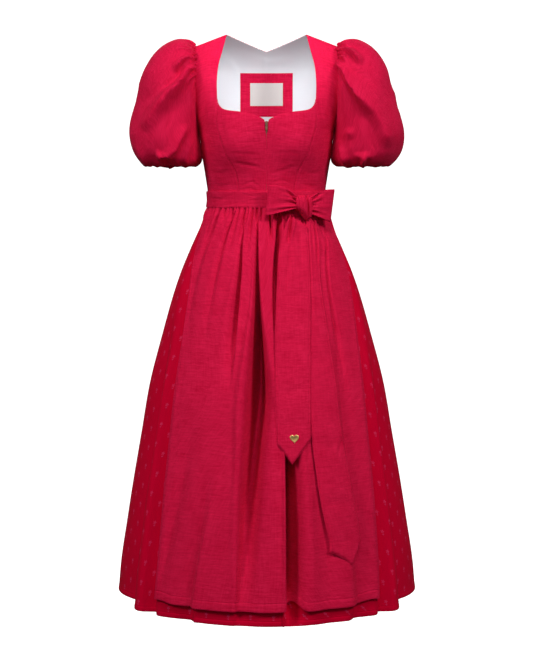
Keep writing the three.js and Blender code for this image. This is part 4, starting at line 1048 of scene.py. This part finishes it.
ALL_FOLDS = (
    *FRONT_FOLDS, *SIDE_FOLDS, *(hanging_fold(*fold) for fold in BACK_FOLDS),
    *small_gathers(21, -86, 87, 31, 110), *small_gathers(22, 88, 272, 38, 200),
)


def troughs(angle, height):
    """How far the folds draw the cloth in, at angles in degrees and heights."""
    depth = np.zeros(np.shape(angle))
    for stations, right_lip, left_lip, floor in ALL_FOLDS:
        fold = table(STATION, *stations)
        away = (angle - look_up(fold, "angle", height) + 180) % 360 - 180
        near = (np.abs(away) < FOLD_REACH) & (height > fold["height"][0] - 2)
        a, h = away[near], height[near]
        on_right = a < 0
        width = np.where(on_right, look_up(fold, "right", h), look_up(fold, "left", h))
        reach = np.sqrt((a / width) ** 2 + 0.012)
        wall = 1 - (1 - fold_wall(reach, np.where(on_right, right_lip, left_lip))) ** floor
        swell = 0.08 * np.exp(-(((reach - 1.7) / 0.6) ** 2))
        depth[near] += np.maximum(look_up(fold, "depth", h), 0) * (wall - swell)
    return depth


def skirt_form(angle, height, out=0.0):
    """Points of the skirt's outer face, moved out by a distance; angles in degrees."""
    half_width = look_up(SKIRT_SECTIONS, "half_width", height)
    turn = np.radians(angle)
    back = np.cos(turn) < 0
    depth = np.where(
        back, look_up(SKIRT_SECTIONS, "back", height), look_up(SKIRT_SECTIONS, "front", height)
    )
    plain = section_radius(turn, half_width, depth, look_up(SKIRT_SECTIONS, "roundness", height))
    fades = np.clip((-height - 6) / 12, 0, 1)
    radius = plain + out - troughs(angle, height) * fades
    return np.stack((radius * np.sin(turn), -radius * np.cos(turn), height), -1)


def turned_hem(distance, height, relief=0.7):
    """A turned-up hem stands a little proud, and its stitching draws the cloth in."""
    beyond = np.clip((distance - height) / 0.8, -20, 20)
    stitches = drawn_in(distance - height + 2.2, 0.8, 1.0)
    return stitches + drawn_in(distance, 0.6, 1.2) - relief / (1 + np.exp(beyond))


HEM_ROWS = (0, 0.8, 1.8, 3.5, 6, 8.5, 10, 11, 12, 13, 14.5, 17)
SKIRT_HEM_HEIGHT = 13.0
HEM_DROPS_IN = 8.0
GATHERS_FROM, GATHER_ROWS = -110, 4.5


def panel_heights(step):
    """Heights from the hem to the waist, close together at the hem and in the gathers."""
    hem = SKIRT_HEM + np.array(HEM_ROWS)
    middle = np.arange(hem[-1] + step, GATHERS_FROM, step)
    upper = np.arange(middle[-1] + GATHER_ROWS, -SEAM, GATHER_ROWS)
    return np.concatenate((hem, middle, upper, (-SEAM,)))


def skirt_panel(across, heights, start, end):
    a, h = np.meshgrid(across, heights)
    gap = np.degrees(SEAM / 2 / look_up(SKIRT_SECTIONS, "half_width", h))
    first, last = start(h) + gap, end(h) - gap
    angle = mix(first, last, a)
    face = skirt_form(angle, h)
    width = np.linalg.norm(face[:, -1:] - face[:, :1], axis=-1)
    depth = drawn_in(a * width, 0.8) + drawn_in((1 - a) * width, 0.8)
    depth += turned_hem(h - SKIRT_HEM, SKIRT_HEM_HEIGHT)
    lowest = np.clip((SKIRT_HEM + 60 - h) / 60, 0, 1)
    below_apron = np.clip((56 - np.abs(angle)) / 16, 0, 1)
    return pressed_in(face, depth + HEM_DROPS_IN * lowest * below_apron)


BLOSSOM_ACROSS, BLOSSOM_UP = 24, 42
BLOSSOM_SCALE = 7 / 6


def skirt_finish():
    """Cotton satin with a five-petalled blossom woven in, each row half a step over."""
    finish = Finish(
        "blossom_cotton", Specular_IOR_Level=0.28, Specular_Tint=colour(255, 60, 104),
    )
    weft, warp = finish.cloth_place()
    column = weft / (BLOSSOM_ACROSS * MM)
    shift = column.math("FLOOR").math("FLOORED_MODULO", 2.0) * 0.5
    x = (column.math("FRACT") - 0.5) * (BLOSSOM_ACROSS * BLOSSOM_SCALE)
    y = ((warp / (BLOSSOM_UP * MM) + shift).math("FRACT") - 0.5) * (BLOSSOM_UP * BLOSSOM_SCALE)
    reach = (x * x + y * y).math("SQRT")
    petals = (y.math("ARCTAN2", x) * 5).math("COSINE") * 1.5 + 3.4
    bloom = (petals - reach).between(-0.35, 0.35) * (reach - 0.8).between(-0.2, 0.3)
    stem_y = y + 7.0
    stem = (x * x * 9 + stem_y * stem_y * 0.16).math("SQRT")
    leaf_x = (x.math("ABSOLUTE") - stem_y * 0.5 - 1.6)
    leaf = (leaf_x * leaf_x * 1.6 + (stem_y + 0.4) * (stem_y + 0.4) * 0.35).math("SQRT")
    sprig = (1.1 - stem).between(-0.3, 0.3).math("MAXIMUM", (1.0 - leaf).between(-0.3, 0.3))
    motif = bloom.math("MAXIMUM", sprig)
    weave = finish.weave(weft, warp, COTTON_THREAD)
    broken = finish.noise(weft * 1400, warp * 1400)
    cloudy = finish.noise(weft * 16, warp * 16, 3.0)
    streaks = finish.noise(weft * 30, warp * 700)
    ground = (cloudy * 0.5 + streaks * 0.4 + weave * 0.05 + 0.05).clipped()
    base = finish.blend(ground, colour(192, 0, 38), colour(214, 2, 50))
    shown = (motif * (0.45 + broken * 0.7)).clipped()
    finish.set("Base Color", finish.blend(shown, base, colour(214, 52, 96)))
    finish.set("Roughness", 0.58 - shown * 0.14 + streaks * 0.08)
    finish.bump(weave * 0.25 + streaks * 0.35 + motif * 0.8, 0.35, 0.25 * MM)
    return finish.material


BLOSSOM_COTTON = skirt_finish()


def right_apron_edge(height):
    return look_up(APRON_EDGES, "right", height)


def left_apron_edge(height):
    return look_up(APRON_EDGES, "left", height)


front_heights = panel_heights(14)
side_heights = panel_heights(8.4)
front_skirt = skirt_panel(spaced(190, 0.004), front_heights, right_apron_edge, left_apron_edge)
left_skirt = skirt_panel(spaced(106, 0.006), side_heights, left_apron_edge, lambda h: BACK_PANEL_EDGE)
right_skirt = skirt_panel(
    spaced(106, 0.006), side_heights, lambda h: -BACK_PANEL_EDGE, right_apron_edge
)
back_skirt = skirt_panel(
    spaced(132, 0.006), side_heights, lambda h: BACK_PANEL_EDGE, lambda h: 360 - BACK_PANEL_EDGE
)
SKIRT_PANELS = (
    ("front_skirt_panel", "skirt_front", front_skirt, 0.66, 0.52),
    ("left_skirt_panel", "skirt_left", left_skirt, 0.66, 0.32),
    ("right_skirt_panel", "skirt_right", right_skirt, 0.66, 0.32),
    ("back_skirt_panel", "skirt_back", back_skirt, 0.8, 0.38),
)
for name, node, face, hem_width, area in SKIRT_PANELS:
    piece = shell(name, face, SKIRT_CLOTH)
    sew(piece, BLOSSOM_COTTON, "skirt_cotton", [node], (hem_width, 0.9), "gathered", area)

# ---------------------------------------------------------------- apron
# One width of ribbed linen, gathered into the waistband, with a deep stitched hem below
# and narrow ones down its sides. It lies on the skirt and takes its folds.
APRON_CLOTH = 1.2
APRON_LIFT = 3.4
APRON_TOP = -16.3
APRON_HEM = -845
APRON_HEM_HEIGHT = 20.0
APRON_SIDE_HEM = 8.0
APRON_LINEN = linen_finish("apron_linen", colour(233, 34, 82), colour(182, 0, 42), 0.8, 0.05)


def apron_hem_height(a):
    """The hem rides up a little beside the deep fold."""
    angle = mix(-48.7, 49.3, a)
    lift = 14 * np.exp(-(((angle - 11.6) / 3.0) ** 2)) + 5 * np.exp(-(((angle + 46) / 4) ** 2))
    return APRON_HEM + lift + 6 * np.exp(-(((angle - 46) / 5) ** 2))


across = spaced(228, 0.002, 0.006, 0.014, 0.02)
from_hem = np.concatenate((
    (0, 0.8, 1.8, 3.5, 7, 11, 15, 17, 18, 19, 20, 21, 23, 26), np.arange(33, 720, 9),
    np.arange(724, APRON_TOP - APRON_HEM, 4.4),
))
a, s = np.meshgrid(across, from_hem)
top_share = s / s.max()
hem_height = apron_hem_height(a)
h = hem_height + (APRON_TOP - hem_height) * top_share
lift = mix(0.9, APRON_LIFT, np.clip((APRON_TOP - h) / 16, 0, 1)) + APRON_CLOTH
angle = mix(right_apron_edge(h), left_apron_edge(h), a)
face = skirt_form(angle, h, lift)
width = np.radians(angle[:, -1:] - angle[:, :1]) * np.linalg.norm(face[..., :2], axis=-1)
from_side = np.minimum(a, 1 - a) * width
depth = turned_hem(h - hem_height, APRON_HEM_HEIGHT, 0.4)
depth += turned_hem(from_side, APRON_SIDE_HEM, 0.4)
apron = shell("apron", pressed_in(face, depth), APRON_CLOTH)
sew(
    apron, APRON_LINEN, "apron_linen", ["apron_panel"], (0.62, 0.86), "gathered", 0.53,
    rests_on=["front_skirt_panel"],
)

# ---------------------------------------------------------------- apron waistband and tie
# The waistband is the apron's linen folded double. At the side seams it becomes the tie,
# which goes round the back and comes forward to the bow.
BAND_BOTTOM, BAND_TOP, BAND_PROUD = -15.9, 20, 3.6
BAND_CLOTH = 2.4
BAND_EDGE, BAND_END_GAP = 90, 0.1
BAND_CREASES = (
    (((-128, 6), (-104, 2), (-84, 7)), 2.6, 0.8, 0.2, 0.1),
    (((-96, -8), (-60, -4), (-30, -9)), 2.4, 0.5, 0.2, 0.1),
    (((-58, 13), (-30, 9), (-6, 13)), 2.2, 0.5, 0.1, 0.3),
    (((-34, 3), (-10, -2), (8, 2)), 2.0, 0.5, 0.0, 0.5),
    (((116, 9), (98, 3), (84, -2)), 2.4, 0.8, 0.1, 0.6),
    (((112, -8), (96, -6), (86, -8)), 2.2, 0.6, 0.1, 0.5),
)
TIE_CREASES = (
    (((-128, 8), (-80, 3), (-20, 7)), 2.8, 0.9, 0.2, 0.0),
    (((124, -6), (70, -2), (10, -7)), 2.8, 0.9, 0.2, 0.0),
    (((60, 13), (0, 9), (-50, 13)), 2.4, 0.6, 0.2, 0.1),
    (((130, 6), (100, 10), (60, 5)), 2.4, 0.7, 0.3, 0.0),
    (((-40, -9), (-80, -5), (-120, -9)), 2.4, 0.7, 0.2, 0.1),
)


def waist_band(first, last, creases):
    angle, height = np.meshgrid(
        np.radians(np.linspace(first, last, 121)),
        mix(BAND_BOTTOM, BAND_TOP, spaced(19, 0.02, 0.045, 0.08)),
    )
    half_width, front, back = (
        np.where(
            height < 0, look_up(SKIRT_SECTIONS, name, height), look_up(BODICE_SECTIONS, name, height)
        )
        for name in ("half_width", "front", "back")
    )
    depth = np.where(np.cos(angle) < 0, back, front) + BAND_PROUD
    radius = section_radius(angle, half_width + BAND_PROUD, depth, ROUNDNESS)
    face = np.stack((radius * np.sin(angle), -radius * np.cos(angle), height), -1)
    pressed = drawn_in(height - BAND_BOTTOM, 1.0, 1.6) + drawn_in(BAND_TOP - height, 1.0, 1.6)
    return pressed_in(face, pressed + creased(face, creases))


FRONT_END, BACK_END = BAND_EDGE - BAND_END_GAP, BAND_EDGE + BAND_END_GAP
BANDS = (
    ("apron_waistband", "apron_band_front", waist_band(-FRONT_END, FRONT_END, BAND_CREASES), 0.365),
    ("apron_tie", "apron_tie_back", waist_band(BACK_END, 360 - BACK_END, TIE_CREASES), 0.36),
)
for name, node, face, length in BANDS:
    piece = shell(name, face, BAND_CLOTH)
    sew(piece, APRON_LINEN, "apron_linen", [node], (length, 0.037), "stretched")

# ---------------------------------------------------------------- bow
# The tie's two ends make a bow on the wearer's left: two flat loops, a knot of one wrap
# with a second strand beside it, and two tails. Fine pleats run from each loop's end
# towards the knot and gather there.
KNOT_MIDDLE = np.array((78, -103.3, -12))
KNOT_TURN = math.radians(22)
KNOT_ALONG = np.array((math.cos(KNOT_TURN), math.sin(KNOT_TURN), 0))
KNOT_OUT = np.array((KNOT_ALONG[1], -KNOT_ALONG[0], 0))
KNOT_CLOTH = 2.4
RIBBON_CLOTH = 1.4
LOOP_START = 11
LOOP_OPEN = 0.1
LOOP_BACK_SHARE = 0.5
# Each loop's bottom and top edge, up from the knot's middle, beside the knot and at its end,
# and how much further its top reaches. Its pleats: where they leave the knot and where they
# would end, as shares of the loop's height, how far they reach, their width and their depth.
LOOPS = {
    "inner": dict(
        node="bow_loop_inner", side=-1, turn=193, reach=69, fullness=11, lean=-7,
        start=(-4.5, 18), end=(-21, 45),
        pleats=((0.50, 1.45, 0.5, 0.10, 6.0), (0.10, 0.08, 1.2, 0.05, 3.4),
                (0.34, 0.36, 0.9, 0.08, 2.6), (0.80, 0.80, 0.7, 0.06, 2.0),
                (0.64, 0.62, 0.45, 0.05, 2.0), (0.22, 0.20, 0.5, 0.05, 2.0)),
    ),
    "outer": dict(
        node="bow_loop_outer", side=1, turn=22, reach=61, fullness=11, lean=10,
        start=(-15, 16), end=(-36, 36),
        pleats=((0.74, 1.15, 0.5, 0.08, 5.0), (0.46, 0.44, 0.36, 0.09, 5.0),
                (0.30, 0.29, 0.9, 0.05, 2.6), (0.60, 0.64, 0.6, 0.06, 2.4),
                (0.13, 0.10, 0.9, 0.09, 4.6), (0.88, 0.92, 0.6, 0.04, 1.8)),
    ),
}


def bow_loop(side, turn, reach, fullness, lean, start, end, pleats, **_):
    turn = math.radians(turn)
    along = np.array((math.cos(turn), math.sin(turn), 0))
    out = side * np.array((along[1], -along[0], 0))
    a, u = np.meshgrid(np.linspace(0, 1, 131), spaced(61, 0.006, 0.012, 0.025))
    first, last = (LOOP_OPEN, 1 - LOOP_OPEN) if side > 0 else (1 - LOOP_OPEN, LOOP_OPEN)
    step = 2 * np.pi * mix(first, last, a)
    start_share = (1 - math.cos(2 * math.pi * LOOP_OPEN)) / 2
    reached = ((1 - np.cos(step)) / 2 - start_share) / (1 - start_share)
    bottom = mix(start[0], end[0], reached)
    top = mix(start[1], end[1], 1 - (1 - np.clip(reached, 0, 1)) ** 2.5)
    height = top - bottom
    full = np.sin(step) * np.where(np.sin(step) < 0, LOOP_BACK_SHARE, 1)
    face = KNOT_MIDDLE + side * LOOP_START * KNOT_ALONG
    face = face + (reached * (reach + lean * (u - 0.5)))[..., None] * along
    face = face + (fullness * full)[..., None] * out
    face = face + mix(bottom, top, u)[..., None] * np.array((0, 0, 1))
    front = np.clip(np.sin(step) * 3 + 0.5, 0, 1)
    depth = drawn_in(u * height, 1.0, 1.8) + drawn_in((1 - u) * height, 1.0, 1.8)
    for leaves, ends, length, width, deep in pleats:
        line = mix(leaves, ends, reached)
        fade = np.clip(1 - reached / length, 0, 1) ** 0.8
        away = (u - line) / (width * (0.8 + reached * 0.9))
        ridge = 0.5 * np.exp(-(((np.abs(away) - 1.7) / 0.8) ** 2))
        depth += deep * fade * (np.exp(-away * away) - ridge) * mix(0.5, 1, front)
    return pressed_in(face, depth)


for name, loop in LOOPS.items():
    piece = shell(name + "_bow_loop", bow_loop(**loop), RIBBON_CLOTH)
    sew(piece, APRON_LINEN, "apron_linen", [loop["node"]], (0.16, 0.075), "folded", 0.0085)


# The knot from the inner loop to the outer one: a broad pad, a groove, and the strand that
# goes on into the side tail. Top and bottom are measured from the knot's middle.
KNOT_ENDS = (-19, 20)
KNOT_WRAP = table(
    "share top bottom out",
    (0, 17, -4, 8), (0.07, 21, -7, 12.5), (0.3, 23, -15, 17), (0.52, 22.5, -25, 17),
    (0.66, 20, -31, 14), (0.72, 17, -31, 9), (0.78, 21.5, -29, 13), (0.88, 23, -28, 14),
    (0.96, 20, -26, 11.5), (1, 17, -22, 8.5),
)
# Pleats along the wrap: where they lie across it, their width and their depth.
KNOT_PLEATS = ((0.1, 0.03, 1.2), (0.24, 0.03, 0.9), (0.4, 0.03, 1.1), (0.86, 0.02, 1.4))


def knot_face():
    around, across = np.meshgrid(np.linspace(0, 1, 121), np.linspace(0, 1, 91))
    angle = around * 2 * np.pi
    sine, cosine = np.sin(angle), np.cos(angle)
    front = np.clip(sine * 2, 0, 1)
    slant = np.clip(across + 0.05 * cosine * front * np.sin(across * np.pi), 0, 1)
    top, bottom, out = (look_up(KNOT_WRAP, name, slant, "share") for name in ("top", "bottom", "out"))
    out = mix(10.4, out, front)
    face = KNOT_MIDDLE + mix(*KNOT_ENDS, across)[..., None] * KNOT_ALONG
    bulge = np.sign(sine) * np.abs(sine) ** 0.7 * out
    lift = mix(bottom, top, (1 + np.sign(cosine) * np.abs(cosine) ** 0.8) / 2)
    face = face + bulge[..., None] * KNOT_OUT + lift[..., None] * np.array((0, 0, 1))
    depth = np.zeros(across.shape)
    for place, width, deep in KNOT_PLEATS:
        depth += drawn_in(slant - place, deep, width) * (1 + 0.5 * cosine)
    return pressed_in(face, depth * mix(0.3, 1, front), closed=True)


knot = shell("bow_wrap", knot_face(), KNOT_CLOTH, closed=True)
sew(knot, APRON_LINEN, "apron_linen", ["bow_knot"], (0.13, 0.041), "folded")

# ---------------------------------------------------------------- bow tails
# Each tail is one width of the tie, cut to an off-centre point. The tails gather where
# they come out of the knot, and lie on the apron and on each other.
FRONT_TAIL = table(
    "height near far out",
    (-505, 21.5, 93.5, 10), (-377, 17, 95.6, 10), (-307, 18.3, 96, 10), (-227, 20, 96.6, 10),
    (-175, 23, 96.5, 10), (-120, 26, 95, 10), (-78, 33.5, 92.5, 9.5), (-56, 41, 89.5, 13),
    (-41, 46.5, 84, 17), (-27, 56, 82, 19),
)
SIDE_TAIL = table(
    "height near far out",
    (-710, 132, 200, 7.4), (-630, 114, 187, 7.4), (-544, 101, 171, 7.4), (-468, 92, 158, 7.4),
    (-379, 82, 149, 7.4), (-257, 68, 131, 7.4), (-175, 62, 119.5, 7.4), (-95, 76, 116.6, 7.4),
    (-64, 85, 113, 8), (-50, 88.5, 111, 11), (-37, 90.5, 108, 13),
)
# Corners and tip of the pointed end: heights at the near edge, the far edge and the tip,
# and where the tip lies between them.
FRONT_TAIL_END = (-505, -497, -548, 0.45)
SIDE_TAIL_END = (-729, -709, -762, 0.7)
# Heights of the top edge, near and far: the front tail is folded over on a slant there.
FRONT_TAIL_TOP = (-27, -55)
SIDE_TAIL_TOP = (-37, -37)
FRONT_TAIL_CREASES = (
    (((55, -34), (54, -50), (51, -64), (45, -96)), 3.4, 9.0, 0.8, 0.0, 0.3),
    (((52, -96), (46, -150), (38, -210)), 5.0, 2.2, 0.3, 0.0, 0.4),
    (((62, -40), (80, -60), (89, -76)), 3.4, 1.8, 0.6, 0.2, 0.5),
    (((70, -60), (74, -96), (78, -150)), 6.0, 2.0, 0.5, 0.0, 0.3),
    (((24, -196), (56, -206), (92, -190)), 13.0, 1.2, 0.3, 0.2, 0.3),
    (((22, -300), (60, -292), (94, -312)), 12.0, 1.0, 0.2, 0.3, 0.3),
    (((20, -392), (54, -402), (93, -388)), 13.0, 1.1, 0.3, 0.2, 0.3),
    (((24, -470), (60, -462), (90, -474)), 9.0, 0.7, 0.2, 0.2, 0.3),
)
SIDE_TAIL_CREASES = (
    (((90, -39), (88, -90), (92, -180), (100, -280)), 3.6, 2.4, 0.9, 0.0, 0.4),
    (((102, -39), (110, -80), (112, -150)), 3.0, 3.4, 1.0, 0.0, 0.5),
    (((96, -44), (100, -84), (104, -120)), 2.4, 2.0, 1.0, 0.0, 0.4),
    (((92, -330), (120, -338), (142, -322)), 12.0, 1.0, 0.3, 0.3, 0.3),
    (((96, -500), (130, -520), (160, -508)), 13.0, 1.2, 0.2, 0.3, 0.3),
    (((150, -540), (156, -512), (162, -500)), 4.0, 0.9, 0.0, 0.6, 0.6),
    (((116, -640), (144, -628), (180, -646)), 12.0, 1.1, 0.3, 0.2, 0.3),
    (((132, -700), (160, -712), (186, -700)), 8.0, 0.7, 0.2, 0.2, 0.3),
)
TAIL_HEM = 2.4
TAIL_STITCH = 5.2


def front_of_skirt(x, height, out):
    """A point in front of the skirt, at a distance from the centre, clear of its folds."""
    half_width = look_up(SKIRT_SECTIONS, "half_width", height) + out
    depth = look_up(SKIRT_SECTIONS, "front", height) + out
    roundness = look_up(SKIRT_SECTIONS, "roundness", height)
    y = depth * (1 - (np.abs(x) / half_width) ** roundness) ** (1 / roundness)
    return np.stack((x, -y, height), -1)


def bow_tail(edges, end, top, creases):
    near_corner, far_corner, tip, tip_at = end
    across = spaced(43, 0.008, 0.02, 0.035, 0.055, 0.068, 0.08, 0.1)
    a, u = np.meshgrid(across, spaced(165, 0.0015, 0.004))
    to_tip = np.where(a < tip_at, a / tip_at, (1 - a) / (1 - tip_at))
    bottom = mix(mix(near_corner, far_corner, a), tip, to_tip)
    height = mix(bottom, mix(*top, a), u)
    row = np.maximum(height, edges["height"][0])
    near, far = look_up(edges, "near", row), look_up(edges, "far", row)
    face = front_of_skirt(mix(near, far, a), height, look_up(edges, "out", row))
    from_edge = np.minimum(np.minimum(a, 1 - a) * (far - near), (height - bottom) * 0.75)
    from_top = mix(*top, a) - height
    depth = drawn_in(from_edge, 3.0, TAIL_HEM) + drawn_in(from_top, 5.0, 4.0)
    depth += drawn_in(from_edge - TAIL_STITCH, 0.9, 0.8)
    return pressed_in(face, depth + creased(face, creases))


front_tail = bow_tail(FRONT_TAIL, FRONT_TAIL_END, FRONT_TAIL_TOP, FRONT_TAIL_CREASES)
side_tail = bow_tail(SIDE_TAIL, SIDE_TAIL_END, SIDE_TAIL_TOP, SIDE_TAIL_CREASES)
TAILS = (
    ("front_bow_tail", "bow_tail_front", front_tail, 0.5),
    ("side_bow_tail", "bow_tail_side", side_tail, 0.71),
)
for name, node, face, length in TAILS:
    piece = shell(name, face, RIBBON_CLOTH)
    sew(
        piece, APRON_LINEN, "apron_linen", [node], (0.078, length), "hung",
        rests_on=["apron"],
    )

# ---------------------------------------------------------------- charm
# A small gold-coloured heart with a rounded edge, pinned flat on the front tail above its
# point.
CHARM_X, CHARM_HEIGHT = 58, -497
CHARM_WIDTH, CHARM_LENGTH, CHARM_THICKNESS = 19, 18, 1.6
CHARM_OUT = 9 + 2 * SEAM
CHARM_POINTS = 64

bpy.ops.mesh.primitive_circle_add(vertices=CHARM_POINTS, radius=1, fill_type="NGON", calc_uvs=False)
charm = bpy.context.object
charm.name = charm.data.name = "heart_charm"
spot, beside, above = front_of_skirt(
    CHARM_X + np.array((0, 1.0, 0)), CHARM_HEIGHT + np.array((0, 0, 1.0)), CHARM_OUT
)
out = np.cross(beside - spot, above - spot)
out /= np.linalg.norm(out)
up = np.array((0, 0, 1)) - out * out[2]
up /= np.linalg.norm(up)
right = np.cross(up, out)
charm_middle = spot * MM + (0, 0, WAIST)
for corner in charm.data.vertices:
    turn = math.atan2(corner.co.x, corner.co.y)
    across = 16 * math.sin(turn) ** 3 / 32
    along = (13 * math.cos(turn) - 5 * math.cos(2 * turn) - 2 * math.cos(3 * turn)
             - math.cos(4 * turn) + 2.5) / 29
    place = right * across * CHARM_WIDTH + up * along * CHARM_LENGTH
    corner.co = charm_middle + place * MM
bpy.ops.object.mode_set(mode="EDIT")
bpy.ops.mesh.select_all(action="SELECT")
bpy.ops.mesh.extrude_region_move(
    TRANSFORM_OT_translate={"value": out * CHARM_THICKNESS * 0.55 * MM}
)
for lift, shrink in ((0.25, 0.9), (0.14, 0.78), (0.06, 0.6)):
    bpy.ops.mesh.extrude_region_move(
        TRANSFORM_OT_translate={"value": out * CHARM_THICKNESS * lift * MM}
    )
    bpy.ops.transform.resize(value=(shrink, shrink, shrink), center_override=charm_middle)
bpy.ops.mesh.select_all(action="SELECT")
bpy.ops.mesh.normals_make_consistent(inside=False)
bpy.ops.object.mode_set(mode="OBJECT")
bpy.ops.object.shade_smooth_by_angle(angle=math.radians(40))
charm.select_set(False)
charm.data.materials.append(
    metal_finish("charm_gold", colour(214, 168, 92), colour(240, 204, 140), 0.22)
)
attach(charm, "dress")
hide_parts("charm")

boxes = {"cad": cad_box, "visual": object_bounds()}
{name: [list(map(float, corner)) for corner in box] for name, box in boxes.items()}
